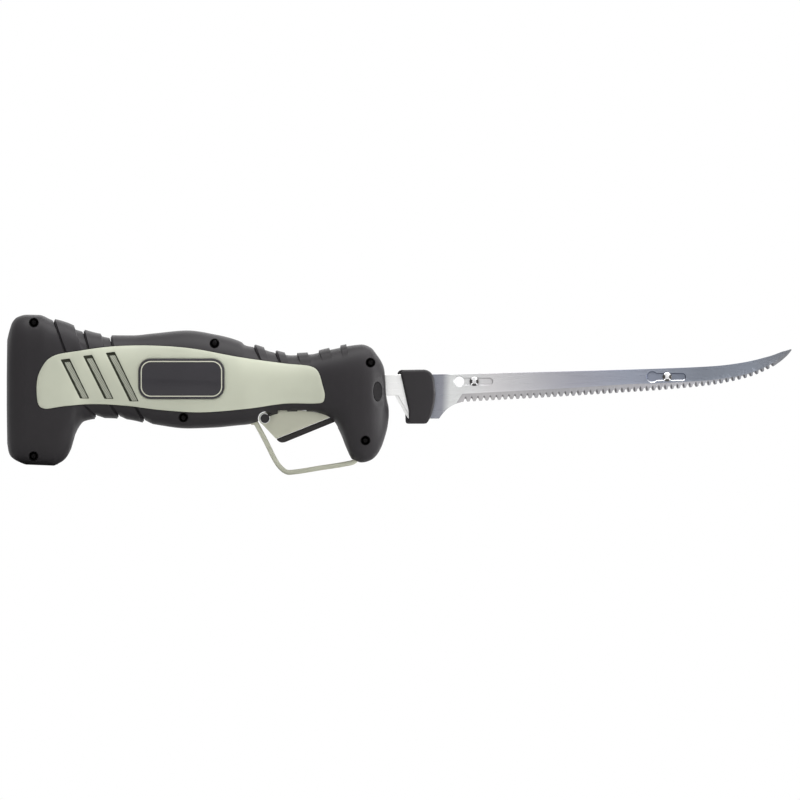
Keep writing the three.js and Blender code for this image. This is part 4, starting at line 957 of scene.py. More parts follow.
def brushed_lines():
    def wire(tree, given, put):
        drawn = node(tree, "ShaderNodeVectorMath", {0: place_in(tree), 1: given["Stretch"]},
                     operation="MULTIPLY")
        tree.links.new(noise(tree, drawn.outputs["Vector"], 1.0, 5.0, 0.65), put["Lines"])
    return effect("Brushed lines", [("Stretch", "NodeSocketVector", (60.0, 900.0, 4000.0))],
                  [("Lines", "NodeSocketFloat")], wire)


def slot_hatch():
    def wire(tree, given, put):
        spun = node(tree, "ShaderNodeVectorRotate", {"Vector": place_in(tree), "Angle": math.radians(38)},
                    rotation_type="Y_AXIS")
        turned_place = {"Vector": spun.outputs["Vector"], "Scale": given["Scale"]}
        waves = node(tree, "ShaderNodeTexWave", turned_place, bands_direction="X")
        tree.links.new(waves.outputs["Fac"], put["Height"])
    return effect("Slot hatch", [("Scale", "NodeSocketFloat", 340.0)],
                  [("Height", "NodeSocketFloat")], wire)


# Painted reflection and shade on the steel along the blade, x in millimetres and its tint: grey where the
# handle hides the tang, a painted shade; bright ahead of the nose, dark at the collar, pale behind the
# teeth and bluish towards the tip, painted reflections of the room and of the collar
BLADE_PAINTED_REFLECTION = [
    (-20, (0.6, 0.6, 0.61)), (-9, (0.62, 0.62, 0.63)), (-2, (0.93, 0.93, 0.92)), (22, (0.93, 0.93, 0.92)),
    (26, (0.25, 0.26, 0.3)), (32, (0.28, 0.285, 0.32)), (36.5, (0.7, 0.71, 0.705)),
    (60, (0.63, 0.62, 0.63)), (80, (0.52, 0.515, 0.54)), (105, (0.38, 0.38, 0.43)),
    (137, (0.312, 0.333, 0.4)), (180, (0.22, 0.24, 0.282)), (208, (0.248, 0.27, 0.317)),
    (232, (0.2, 0.205, 0.22)),
]

# Painted reflection of the ground band: greyer than the flat's, and darker in the blade's last quarter
BAND_PAINTED_REFLECTION = [
    (-20, (0.44, 0.43, 0.44)), (60, (0.39, 0.38, 0.385)), (100, (0.32, 0.317, 0.33)),
    (140, (0.35, 0.343, 0.36)), (170, (0.4, 0.397, 0.42)), (195, (0.28, 0.287, 0.315)),
    (232, (0.2, 0.202, 0.215)),
]


def along_blade(name, tints):
    """Painted reflection and shade along the blade, as a tint of the steel, from places in the working
    frame.
    """
    def wire(tree, given, put):
        along = node(tree, "ShaderNodeSeparateXYZ", {0: place_in(tree)}).outputs["X"]
        start, end = tints[0][0], tints[-1][0]
        first, last = [(WORK @ Vector((x * MM, 0, 52 * MM))).x for x in (start, end)]
        stops = [((x - start) / (end - start), tint) for x, tint in tints]
        tree.links.new(ramped(tree, mapped(tree, along, first, last), stops), put["Tone"])
    return effect(name, [], [("Tone", "NodeSocketColor")], wire)


# Materials

def made_once(make):
    """A material of the same name is made once and then used again."""
    def given(name, *rest, **named):
        if name not in bpy.data.materials:
            make(name, *rest, **named)
        return bpy.data.materials[name]
    return given


def blank_material(name):
    material = bpy.data.materials.new(name)
    material.use_nodes = True
    tree = material.node_tree
    tree.nodes.clear()
    leave = tree.nodes.new("ShaderNodeOutputMaterial")
    surface = tree.nodes.new("ShaderNodeBsdfPrincipled")
    tree.links.new(surface.outputs[0], leave.inputs["Surface"])
    return material, tree, surface.inputs


def use(tree, group, **given):
    return node(tree, "ShaderNodeGroup", given, node_tree=group).outputs


def bumped(tree, surface, height, strength, distance):
    made = node(tree, "ShaderNodeBump", {"Height": height, "Strength": strength, "Distance": distance})
    tree.links.new(made.outputs[0], surface["Normal"])


def brushed(tree, surface, stretch, low, high, strength, distance):
    """Bare metal with drawn lines: its roughness swings between low and high along them."""
    surface["Metallic"].default_value = 1.0
    lines = use(tree, brushed_lines(), Stretch=stretch)["Lines"]
    tree.links.new(mapped(tree, lines, 0.3, 0.7, low, high), surface["Roughness"])
    bumped(tree, surface, lines, strength, distance)


@made_once
def moulded(name, colour, roughness, grain, scale=1400.0, drift=0.06, wear=0.25, coat=0.0, gloss=0.3):
    """Moulded plastic or rubber: grain, slow drift of tone, and edges rubbed lighter and smoother."""
    _, tree, surface = blank_material(name)
    shade = use(tree, tone_drift(), Colour=(*colour, 1), Scale=55.0, Amount=drift)["Colour"]
    rubbed = use(tree, worn_edges(), Amount=wear)["Mask"]
    lighter = [min(1.0, c * 1.6 + 0.02) for c in colour]
    tree.links.new(blended(tree, rubbed, shade, (*lighter, 1)), surface["Base Color"])
    tree.links.new(mapped(tree, rubbed, 0.0, 1.0, roughness, roughness * 0.75), surface["Roughness"])
    surface["Coat Weight"].default_value = coat
    surface["Specular IOR Level"].default_value = gloss
    bumped(tree, surface, use(tree, moulded_grain(), Scale=scale)["Height"], grain, 0.0001)


@made_once
def bare_metal(name, colour, roughness, stretch, lines):
    """Bare metal with drawn or brushed lines."""
    _, tree, surface = blank_material(name)
    shade = use(tree, tone_drift(), Colour=(*colour, 1), Scale=120.0, Amount=0.05)["Colour"]
    tree.links.new(shade, surface["Base Color"])
    brushed(tree, surface, stretch, roughness * 0.8, roughness * 1.2, lines, 0.00005)


@made_once
def blade_steel(name, stretch, roughness, gain, shade_gamma=1.0):
    """Blade steel: brushed lines along or across it, and its painted reflection and shade along the blade
    as a tint, scaled by a gain and bent by a gamma that paints shade above one and a highlight below one.
    """
    _, tree, surface = blank_material(name)
    tone = use(tree, along_blade("Blade painted reflection", BLADE_PAINTED_REFLECTION))["Tone"]
    if shade_gamma != 1:
        tone = node(tree, "ShaderNodeGamma", {"Color": tone, "Gamma": shade_gamma}).outputs[0]
    tint = [c * gain for c in settings().steel_colour]
    shade = blended(tree, 1.0, tone, (*tint, 1), blend_type="MULTIPLY", clamp_result=True)
    drift = use(tree, tone_drift(), Colour=shade, Scale=25.0, Amount=0.03)["Colour"]
    tree.links.new(drift, surface["Base Color"])
    brushed(tree, surface, stretch, roughness * 0.85, roughness * 1.15, 0.12, 0.00003)


@made_once
def ground_steel(name, dark):
    """Ground band of the edge: lines across it, and painted shade darkening the hollows between the teeth.
    """
    _, tree, surface = blank_material(name)
    tone = use(tree, along_blade("Band painted reflection", BAND_PAINTED_REFLECTION))["Tone"]
    shade = use(tree, tone_drift(), Colour=tone, Scale=90.0, Amount=0.06)["Colour"]
    # The hollow attribute is painted shade, blending the band towards the dark colour
    hollow = node(tree, "ShaderNodeAttribute", attribute_name="hollow").outputs["Fac"]
    tree.links.new(blended(tree, hollow, shade, (*dark, 1)), surface["Base Color"])
    brushed(tree, surface, (3200.0, 700.0, 25.0), 0.3, 0.42, 0.15, 0.00003)


@made_once
def hatched(name, colour):
    """Floor of the panel's slots with fine slanted lines."""
    _, tree, surface = blank_material(name)
    lines = use(tree, slot_hatch())["Height"]
    darker = [c * 0.55 for c in colour]
    tree.links.new(blended(tree, lines, (*darker, 1), (*colour, 1)), surface["Base Color"])
    surface["Roughness"].default_value = 0.6
    bumped(tree, surface, lines, 0.5, 0.0002)


def casing_material():
    colour, grain = settings().casing_colour, settings().grain
    return moulded("Casing rubber", colour, 0.52, grain, 1500.0, 0.07, 0.3, gloss=0.24)


def trim_material():
    return moulded("Pale trim", settings().trim_colour, 0.5, 0.12, 1800.0, 0.03, 0.15)


# Pieces

class KnifeOperator:
    """What the knife's operators share."""

    bl_options = {"REGISTER", "UNDO"}


def casing_steps(side):
    """Cuts and joins, in order, that make one half of the casing of the whole handle."""
    steps = []

    def cut(tool):
        steps.append(("DIFFERENCE", tool))

    def join(tool):
        steps.append(("UNION", tool))

    def across(near, far):
        return (-far, -near) if side < 0 else (near, far)

    cut(plain_handle("hollow", WALL, 90, 64, -WALL))
    low, high = across(SEAM, 60)
    steps.append(("INTERSECT", block("half", (-FAR, low, -60), (FAR, high, 160))))
    for x, z in CASE_SCREWS.values():
        boss = rod("boss", x, z, BOSS, *across(SEAM, 40), 32)
        join(carve(boss, [("INTERSECT", plain_handle("limit", 0.8, 90, 64, -0.8))]))
    seat = Skin(side)
    outline = inset(turned(curve_through(PANEL_LINE, 9, True)), -FIT)
    seat.slab(outline, [], 60.0, side_depth(PANEL_PROUD - PANEL_DEPTH - FIT), [(0, 0)], spacing=2.2)
    cut(seat.build("panel_seat"))
    cut(bar("bay", BAY_LINE, -BAY_HALF, BAY_HALF))
    for x in OPENINGS:
        back, front = x - OPENING_HALF, x + OPENING_HALF
        corners = [(back, OPENING_LOW), (front, OPENING_LOW), (front, OPENING_HIGH), (back, OPENING_HIGH)]
        cut(bar("opening", softened(corners, 0.5, 1), *across(BAY_HALF - 1, 16)))
    low, high = across(BAY_HALF - 0.1, 16)
    eye_room = rod("eye_room", *PIVOT, EYE + FIT + 0.1, low, high, 56)
    x, z = PIVOT
    bridge = block("bridge", (x + 1.5, low, z + 0.4), (x + 7, high, z + 2.6))
    cut(carve(eye_room, [("DIFFERENCE", bridge)]))
    join(rod("pivot_boss", *PIVOT, PIVOT_BOSS, *across(SEAM, BAY_HALF + 0.4)))
    join(rod("pivot_lobe", *PIVOT, LOBE, *across(BAY_HALF, BAY_HALF + 3.4), 48))
    for x, z in CASE_SCREWS.values():
        if side < 0:
            cut(rod("recess", x, z, RECESS, -40, -SCREW_SEAT + 0.1))
            cut(rod("screw_hole", x, z, SHANK_RIGHT, -20, 0, 20))
        else:
            cut(rod("screw_hole", x, z, SHANK_LEFT, 0, 6.1, 20))
    if side > 0:
        cut(rod("head_room", *PIVOT, PIVOT_HEAD, PIVOT_SEAT - 0.1, 40))
        cut(rod("shank_room", *PIVOT, PIVOT_SHANK, 0, 20, 20))
    else:
        cut(rod("shank_room", *PIVOT, PIVOT_SHANK, -8.4, 0, 20))
    cut(block("blade_slot", (-6, -TANG_ROOM, TANG_BOTTOM - TANG_GAP), (4, TANG_ROOM, TANG_TOP + TANG_GAP)))
    x, z, rx, rz, _ = BUTTON
    cut(bar("button_hole", oval(x, z, rx + 0.1, rz + 0.1, 56), *across(8, 40)))
    profile = [(0, -10), (SOCKET_RADIUS, -10), (SOCKET_RADIUS, 30), (0, 30)]
    socket = new_piece("socket_hole", *lathed(profile, 40))
    socket.data.transform(Matrix.Rotation(math.pi / 2, 4, "X"))
    socket.data.transform(Matrix.Translation((SOCKET_X * MM, 0, 0)))
    cut(socket)
    half, thick = GUARD_HALF + FIT, GUARD_THICKNESS / 2 + FIT
    room = [(-thick, -half), (thick, -half), (thick, half), (-thick, half)]
    cut(swept("guard_room", curve_through(GUARD_LINE, 6), room))
    cut(block("tab_room", (-77.7, -3.7, 26), (-74.1, 3.7, 36)))
    cut(block("foot_room", (-77.7, -5.9, 32.7), (-74.1, 5.9, 36)))
    ground = block("ground", (-FAR, -90, -60), (FAR, 90, 0))
    ground.matrix_world = Matrix.Identity(4)
    cut(ground)
    return steps


class FILLET_OT_casing(KnifeOperator, Operator):
    """Build the two halves of the casing"""

    bl_idname = "fillet.casing"
    bl_label = "Casing"

    def execute(self, context):
        columns = handle_columns()
        for hand, side in SIDES:
            shell = new_piece(f"casing_{hand}", *handle_skin(columns, 168, 0, True))
            carve(shell, casing_steps(side))
            fit_out(shell, "handle", [f"{hand}_shell"], [casing_material()], 30)
        return {"FINISHED"}


def plate_line(grow):
    x, z, half_x, half_z, corner = PLATE
    return spaced(round_box(x, z, half_x + grow, half_z + grow, corner + grow, 10), 2.0)


def panel_slot(skin, face, top, bottom):
    """A slanted slot with a hatched isle on its floor, round which the floor is a dark painted shadow,
    widest at the left and top; gives the ring of its mouth.
    """
    (top_x, top_z), (low_x, low_z) = top, bottom
    mouth = [(top_x - SLOT_HALF, top_z - 0.3), (low_x - SLOT_HALF, low_z),
             (low_x + SLOT_HALF, low_z), (top_x + SLOT_HALF, top_z + 0.3)]
    # The isle sits off towards the bottom right, so the painted shadow round it is widest at the left and
    # top
    isle = [(top_x - SLOT_HALF + 2.2, top_z - 1.9), (low_x - SLOT_HALF + 1.45, low_z + 0.25),
            (low_x + SLOT_HALF - 0.65, low_z + 0.25), (top_x + SLOT_HALF + 0.1, top_z - 1.6)]
    deep, shelf = side_depth(PANEL_PROUD - 1.15), side_depth(PANEL_PROUD - 0.55)
    lip, floor = skin.rim(turned(softened(mouth, 0.5, 1.5), False), face, deep, rounded(0.2, 2))
    isle = turned(softened(isle, 0.4, 1.5))
    foot, rim = skin.ring(isle, deep), skin.ring(isle, shelf)
    # The floor round the isle takes the third material, a near-black painted shadow
    skin.cap([floor, foot], deep, mark=2)
    skin.wall(foot, rim, 1)
    skin.cap([rim], shelf, 2.0, mark=1)
    return lip


def name_plate():
    """The bare plate with a raised pale border."""
    plate = Skin(-1)
    face, back = side_depth(0.8), side_depth(0.3)
    loop = turned(plate_line(0))
    top, foot = plate.rim(loop, face, back, rounded(0.3))
    rise = ((1.3, 0), (1.36, 0.1), (1.84, 0.1), (1.9, 0))
    border = [plate.ring(inset(loop, i), face, -h) for i, h in rise]
    plate.walls(border, 1)
    plate.cap([top, border[0]], face)
    plate.cap([border[-1]], face, 2.2)
    plate.cap([foot], back, 3.0)
    return plate.build("bare_name_plate")


class FILLET_OT_panels(KnifeOperator, Operator):
    """Build the pale grip panels with their slots, and the bare name plate"""

    bl_idname = "fillet.panels"
    bl_label = "Grip panels"

    def execute(self, context):
        colour = settings().panel_colour
        sage = moulded("Panel sage", colour, 0.48, 0.1, 1900.0, 0.025, 0.1)
        floor = hatched("Slot floor", [c * 0.78 for c in colour])
        # Near-black painted shadow round the isles in the slots
        gap = moulded("Slot painted shadow", (0.03, 0.032, 0.02), 0.6, 0.2)
        outline = turned(curve_through(PANEL_LINE, 9, True))
        face, back = side_depth(PANEL_PROUD), side_depth(PANEL_PROUD - PANEL_DEPTH)
        for hand, side in SIDES:
            skin = Skin(side)
            top, foot = skin.rim(outline, face, back, rounded(settings().edge_round / MM))
            skin.cap([foot], back, 3.0)
            mouths = [panel_slot(skin, face, *slot) for slot in SLOTS]
            if side < 0:
                sunk = side_depth(PANEL_PROUD - 0.35)
                lip, seat = skin.rim(turned(plate_line(FIT), False), face, sunk, rounded(0.12, 2))
                skin.cap([seat], sunk, 3.0)
                mouths.append(lip)
            skin.cap([top, *mouths], face, 2.2)
            fit_out(skin.build(f"panel_{hand}"), "handle", [f"{hand}_grip_panel"],
                    [sage, floor, gap], 30)
        dark = moulded("Plate enamel", settings().plate_colour, 0.36, 0.05, 2400.0, 0.03, 0.2, 0.2)
        fit_out(name_plate(), "handle", ["name_plate"], [dark, trim_material()], 30)
        return {"FINISHED"}


class FILLET_OT_guard(KnifeOperator, Operator):
    """Build the trigger guard"""

    bl_idname = "fillet.guard"
    bl_label = "Trigger guard"

    def execute(self, context):
        section = round_box(0, 0, GUARD_THICKNESS / 2, GUARD_HALF, 0.9, 5)
        strap = swept("guard_strap", curve_through(GUARD_LINE, 9), section)
        root = Skin(-1)
        rim = rounded(0.8)
        root.slab(softened(GUARD_ROOT, 0.6, 1), [], GUARD_HALF, -GUARD_HALF, rim, rim[::-1])
        skirt = root.build("guard_root")
        carve(skirt, [("DIFFERENCE", plain_handle("handle_room", 0, 220, 120, FIT))])
        carve(strap, [
            ("DIFFERENCE", block("trim", (-78, -9, 30.9), (-70, 9, 40))),
            ("UNION", skirt),
            ("UNION", block("tab", (-77.4, -3.4, 28.6), (-74.4, 3.4, 34.2))),
            ("UNION", block("foot", (-77.4, -5.6, 33), (-74.4, 5.6, 34.2))),
            ("DIFFERENCE", rod("eye_room", *PIVOT, EYE + FIT, -20, 20, 48)),
        ])
        fit_out(strap, "handle", ["trigger_guard"], [trim_material()], 35)
        return {"FINISHED"}


class FILLET_OT_trigger(KnifeOperator, Operator):
    """Build the trigger and its finger pad"""

    bl_idname = "fillet.trigger"
    bl_label = "Trigger"

    def execute(self, context):
        eye = arc(*PIVOT, EYE, EYE, 92, 209, 16)
        rest = [(-63, 20.6), (-32.2, 32.9), (-33.4, 34.4), (-38, 35.4), (-44, 36.5), (-50, 37), (-66, 37)]
        line = spaced(np.vstack([eye, rest]), 1.2)
        body = Skin(-1)
        rim = rounded(settings().edge_round / MM)
        from_pivot, _ = nearest(line, np.array([PIVOT]))
        broken = 0.2 + 0.8 * smoothstep(EYE, EYE + 3, from_pivot)
        body.slab(line, [oval(*PIVOT, 2.85, 2.85, 40)], TRIGGER_HALF, -TRIGGER_HALF, rim, rim[::-1],
                  spacing=3.0, broken=broken, hole_edge=rounded(0.12, 2))
        lever = body.build("trigger_lever")
        inside = LOBE + 0.3
        rim_line = np.vstack([arc(*PIVOT, EYE, EYE, 75, 235, 28),
                              arc(*PIVOT, inside, inside, 235, 75, 28)])
        for _, side in SIDES:
            rim_skin = Skin(side)
            rim_skin.slab(rim_line, [], EYE_OUT, TRIGGER_HALF - 0.2, rounded(0.12, 2))
            carve(lever, [("UNION", rim_skin.build("eye_rim"))])
        fit_out(lever, "trigger_lever", ["trigger"], [trim_material()], 35)
        rear, tip, top = (-62.9, 20.5), (-28.9, 30.5), (-32.1, 32.8)
        pad_line = softened([rear, (-61.6, 19.1), (-59.9, 18.4), (-58, 18.6), tip, top], 0.9, 1.0)
        pad = Skin(-1)
        rim = rounded(0.9, 4)
        keen, _ = nearest(pad_line, np.array([rear, tip, top]))
        pad.slab(pad_line, [], TRIGGER_HALF, -TRIGGER_HALF, rim, rim[::-1], spacing=2.5,
                 broken=0.2 + 0.8 * smoothstep(0.6, 3.5, keen))
        rubber = moulded("Pad rubber", settings().pad_colour, 0.6, 0.4, 1200.0, 0.06, 0.2)
        pad = pad.build("trigger_finger_pad")
        fit_out(pad, "trigger_lever", ["trigger_pad"], [rubber], 35)
        return {"FINISHED"}


class FILLET_OT_buttons(KnifeOperator, Operator):
    """Build the two release buttons"""

    bl_idname = "fillet.buttons"
    bl_label = "Release buttons"

    def execute(self, context):
        x, z, rx, rz, inner = BUTTON
        # The button's own rubber, darkened to half the casing's colour as painted shade in its dimple
        dark = moulded("Button rubber painted shade", [c * 0.5 for c in settings().casing_colour], 0.7, 0.3, gloss=0.17)
        sunk = side_depth(-BUTTON_SUNK)

        def face(px, pz):
            middle = np.clip(1 - ((px - x) / rx)**2 - ((pz - z) / rz)**2, 0, 1)
            return sunk(px, pz) - 0.5 * middle

        for hand, side in SIDES:
            skin = Skin(side)
            skin.slab(oval(x, z, rx, rz, 56), [], face, inner, rounded(0.4, 4), spacing=0.8)
            button = skin.build(f"button_{hand}")
            flange = Skin(side)
            flange.slab(oval(x, z, rx + 0.9, rz + 0.9, 56), [], inner + 0.9, inner, [(0, 0)])
            carve(button, [("UNION", flange.build("flange"))])
            fit_out(button, f"{hand}_button", [f"{hand}_release_button"], [dark], 35)
        return {"FINISHED"}


def blade_x(share):
    return COLLAR_FRONT + share * BLADE_LENGTH


def blade_edge():
    """The line through the tips of the teeth, and the same line carried on to the point."""
    edge = curve_through([(blade_x(s), z) for s, z in EDGE_LINE], 60, even=True)
    point = quad_curve(edge[-1], (blade_x(0.984), 66.4), (blade_x(1), 71.2), 24)
    return edge, np.vstack([edge, point, [(blade_x(1), 71.2)]])


def blade_outline():
    """Side outline of a blade with its teeth, the share of its rim at each point, and the hollows: middle,
    direction and size of each."""
    edge, whole = blade_edge()
    depth = settings().tooth_depth / MM
    root = COLLAR_FRONT + 2.1
    line = [(-14.4, 46.8), (-12.9, TANG_BOTTOM), *SHOULDER, (root, RICASSO)]
    made = list(spaced(line, 3.0, False))
    start = np.array([edge[0][0], edge[0][1] - 0.2])
    bends = ((root, RICASSO), (COLLAR_FRONT + 5.1, 37), (COLLAR_FRONT + 9.6, 40.6))
    a, b, c = (np.array(place) for place in bends)
    for t in np.linspace(0, 1, 18)[1:]:
        made.append((1 - t)**3 * a + 3 * t * (1 - t)**2 * b + 3 * t * t * (1 - t) * c + t**3 * start)
    toothed = len(made)
    count = round(run_length(edge)[-1] / TOOTH_PITCH)
    stops = at_shares(edge, np.linspace(0, 1, count + 1))
    hollows = []
    for k, (p, q) in enumerate(zip(stops, stops[1:])):
        run = q - p
        rise = np.array((-run[1], run[0])) / np.linalg.norm(run)
        made.extend(p + run * along + rise * share * depth for along, share in TOOTH_SHAPE)
        tall = float(smoothstep(0.15, 0.5, k / count))
        middle = p + run * (0.76 + 0.3 * tall) + rise * depth * (1.2 - 0.35 * tall)
        hollows.append((*middle, *(run / np.linalg.norm(run)), 0.6, 0.65 + 0.9 * tall))
    made.append(stops[-1])
    made.extend(whole[len(edge):])
    plain = len(made)
    spine = curve_through([(blade_x(s), z) for s, z in SPINE_LINE], 14, even=True)
    made.extend(spine)
    made.extend(spaced([(COLLAR_FRONT - 3, TANG_TOP), (-12.9, TANG_TOP), (-14.4, 55.8)], 3.0, False))
    broken = np.ones(len(made))
    broken[toothed - 3:plain + 6] = 0
    return np.array(made), broken, np.array(hollows)


def from_hollow(points, hollows):
    """Distance of each point from the nearest hollow, in shares of the hollow's own size."""
    _, place = nearest(points, hollows[:, :2])
    away, run, size = points - hollows[place, :2], hollows[place, 2:4], hollows[place, 4:]
    along = np.sum(away * run, axis=1)
    rise = away[:, 1] * run[:, 0] - away[:, 0] * run[:, 1]
    return np.hypot(along / size[:, 0], rise / size[:, 1])


def blade_face(whole, hollows):
    """Depth of a blade's outer face, thinned towards the edge and hollowed beside each tooth, and the
    width of its ground band."""
    run = run_length(whole)
    width = np.interp(run / run[-1], [0, 0.5, 0.74, 0.84, 0.96, 1], [LAND, LAND, 2.9, 2.2, 1.7, 0.6])

    def depth(x, z):
        p = np.column_stack([x, z])
        gap, place = nearest(p, whole)
        start = smoothstep(-0.1, 3.0, x - band_start(whole, z))
        ground = 0.15 * np.clip(width[place] - gap, 0, None) * start
        scoop = 0.25 * np.clip(1 - (from_hollow(p, hollows) / 1.7)**2, 0, None)
        return np.maximum(BLADE_OUT - ground - scoop, BLADE_GAP + 0.14)
    return depth, width


def band_start(whole, z):
    """Where the ground band starts at a height: on a slant, further forward towards its top."""
    return whole[0, 0] - BAND_LEAD + BAND_SLANT * (z - whole[0, 1])


def keyhole_line(slot):
    x, z = slot
    back, radius, reach, half = KEYHOLE
    spread = math.degrees(math.asin(half / radius))
    front = arc(x + reach, z, half, half, -90, 90, 14)
    rear = arc(x - back, z, radius, radius, spread, 360 - spread, 32)
    return spaced(np.vstack([front, rear]), 1.5)


def band_lines(whole, width, hollows):
    """The line that the ground band ends on, and rows of points within the band."""
    slope = np.gradient(whole, axis=0)
    slope = slope / np.linalg.norm(slope, axis=1)[:, None]
    out = np.column_stack([-slope[:, 1], slope[:, 0]])
    crease = at_shares((whole + out * width[:, None])[:-6], np.linspace(0.004, 1, 190))
    crease = crease[crease[:, 0] > band_start(whole, crease[:, 1]) + 0.4]
    heights = np.linspace(whole[0, 1] + 0.35, crease[0, 1], 7)
    crease = np.vstack([np.column_stack([band_start(whole, heights), heights]), crease])
    rows = []
    for rise in (0.55, 1.0, 1.45, 1.95, 2.5, 3.1, 3.8):
        row = at_shares((whole + out * rise)[width > rise + 0.25], np.linspace(0, 1, 500))
        rows.append(row[:np.searchsorted(row[:, 0], hollows[-1, 0])])
    return crease, np.vstack(rows)


def blade_holes(side, late):
    """Keyholes of the right blade, or the rivet holes and the one hole beside them of the left blade."""
    if side < 0:
        return [keyhole_line(slot) for slot in BLADE_SLOTS]
    (x, z), back, radius = BLADE_SLOTS[0], KEYHOLE[0], KEYHOLE[1]
    holes = [oval(*slot, 1.5, 1.5, 24) for slot in BLADE_SLOTS]
    return [*holes, oval(x + late - back, z, radius, radius, 36)]


def mark_blade(mesh, whole, width, hollows):
    """Tells the blade's ground band, and the lip of the front keyhole that gets a painted highlight, from
    the flat, and paints shade into the hollows.
    """
    points = np.array([p.center for p in mesh.polygons]) / MM
    facing = np.array([p.normal for p in mesh.polygons])
    marks = np.array([p.material_index for p in mesh.polygons], np.int32)
    gap, place = nearest(points[:, [0, 2]], whole)
    toothed = points[:, 0] > band_start(whole, points[:, 2])
    marks[(marks == BLADE_FLAT) & (gap < width[place]) & toothed] = BLADE_GROUND
    marks[(marks == BLADE_CUT) & (gap < 3) & toothed] = BLADE_GROUND
    # Upward-facing cut faces low on the blade, at the front keyhole only, get the painted highlight
    lower_lip = (marks == BLADE_CUT) & (facing[:, 2] > 0.4) & (points[:, 2] < 56)
    marks[lower_lip & (points[:, 0] > BLADE_SLOTS[0][0] + 20)] = BLADE_LIP_HIGHLIGHT
    mesh.polygons.foreach_set("material_index", marks)
    corners = np.array([v.co for v in mesh.vertices])[:, [0, 2]] / MM
    # Painted shade in the hollows beside the teeth: full in each one's middle, gone at its rim
    shade = 1 - smoothstep(0.5, 1.15, from_hollow(corners, hollows))
    mesh.attributes.new("hollow", "FLOAT", "POINT").data.foreach_set("value", shade)


def blade_piece(name, side):
    """One blade; the left one's edge starts later, so that both lie in line at rest."""
    late = 0 if side < 0 else 2 * REST_SHIFT
    whole = blade_edge()[1] + np.array((late, 0))
    outline, broken, hollows = blade_outline()
    outline[:, 0] += late * smoothstep(COLLAR_FRONT - 1, COLLAR_FRONT + 6, outline[:, 0])
    hollows[:, 0] += late
    face, width = blade_face(whole, hollows)
    crease, rows = band_lines(whole, width, hollows)
    holes = blade_holes(side, late)
    clear = ~covers([inset(turned(h), -1.0) for h in holes], crease)
    creases = [run for run in np.split(crease, np.flatnonzero(~clear)) if len(run) > 2]
    creases = [creases[0]] + [run[1:] for run in creases[1:]]
    skin = Skin(side)
    skin.slab(outline, holes, face, BLADE_GAP, [(0.2, 0), (0, 0.25)], spacing=4.0, lines=creases,
              extra=rows, broken=broken, hole_edge=[(0.42, 0), (0, 0.4)],
              wall_mark=BLADE_CUT, back_mark=BLADE_INNER)
    piece = skin.build(name)
    mark_blade(piece.data, whole, width, hollows)
    return piece


def to_rest(piece, side):
    """Moves a piece of one blade set to where the crank rests."""
    piece.data.transform(Matrix.Translation((-side * REST_SHIFT * MM, 0, 0)))


class FILLET_OT_blades(KnifeOperator, Operator):
    """Build the pair of serrated blades"""

    bl_idname = "fillet.blades"
    bl_label = "Blades"

    def execute(self, context):
        flat = blade_steel("Blade flat", (25.0, 700.0, 3200.0), 0.3, 1.0)
        # The dark colour is the painted shade in the hollows between the teeth
        ground = ground_steel("Blade ground edge", (0.1, 0.098, 0.1))
        # Cut walls and chamfers, darkened by a gamma of 1.9: painted shade along the keyhole edges and the
        # blade's outline
        cut = blade_steel("Blade cut edge painted shade", (900.0, 900.0, 900.0), 0.5, 1.0, 1.9)
        # Brightened by its gain and a gamma of 0.3: painted highlight on the upward lower lip of the front
        # keyhole
        lip = blade_steel("Blade lip painted highlight", (400.0, 400.0, 400.0), 0.25, 1.3, 0.3)
        # Rougher, and a little darker by its gain and gamma: painted shade where the far blade shows
        # through the keyholes
        inner = blade_steel("Blade inner face", (25.0, 700.0, 3200.0), 0.45, 0.97, 1.15)
        for hand, side in SIDES:
            piece = blade_piece(f"blade_{hand}", side)
            to_rest(piece, side)
            fit_out(piece, f"{hand}_blade_set", [f"{hand}_blade"],
                    [flat, ground, cut, lip, inner], 12)
        return {"FINISHED"}


def collar_line():
    made = [COLLAR_START]
    for end, bend, steps in COLLAR_RUNS:
        if bend:
            made.extend(quad_curve(made[-1], bend, end, steps))
        made.append(end)
    return spaced([(COLLAR_FRONT + x, z) for x, z in made], 1.2)


def collar_face(x, z):
    """Depth of a collar's outer face, a little domed."""
    lift = np.clip(((x - COLLAR_FRONT + 9.9) / 11)**2 + ((z - 44.5) / 18)**2, 0, 1)
    return COLLAR_HALF - 0.45 * lift


class FILLET_OT_collars(KnifeOperator, Operator):
    """Build the dark collars moulded over the blades' roots"""

    bl_idname = "fillet.collars"
    bl_label = "Collars"

    def execute(self, context):
        colour = settings().casing_colour
        dark = moulded("Collar plastic", [c * 0.95 for c in colour], 0.5, 0.25, 1600.0, 0.05, 0.35)
        outline = collar_line()
        broken = 0.45 + 0.55 * smoothstep(31, 37, outline[:, 1])
        room = [(-20, TANG_TOP), (-20, TANG_BOTTOM), *SHOULDER, (40, RICASSO), (40, TANG_TOP + 0.4),
                (COLLAR_FRONT + 0.1, TANG_TOP)]
        room = inset(turned(np.array(room, float)), -0.15)
        for hand, side in SIDES:
            skin = Skin(side)
            skin.slab(outline, [], collar_face, BLADE_GAP, rounded(1.5, 5), spacing=2.0, broken=broken)
            collar = skin.build(f"collar_{hand}")
            carve(collar, [("DIFFERENCE", bar("blade_room", room, -BLADE_OUT - 0.1, BLADE_OUT + 0.1))])
            to_rest(collar, side)
            fit_out(collar, f"{hand}_blade_set", [f"{hand}_collar"], [dark], 35)
        return {"FINISHED"}


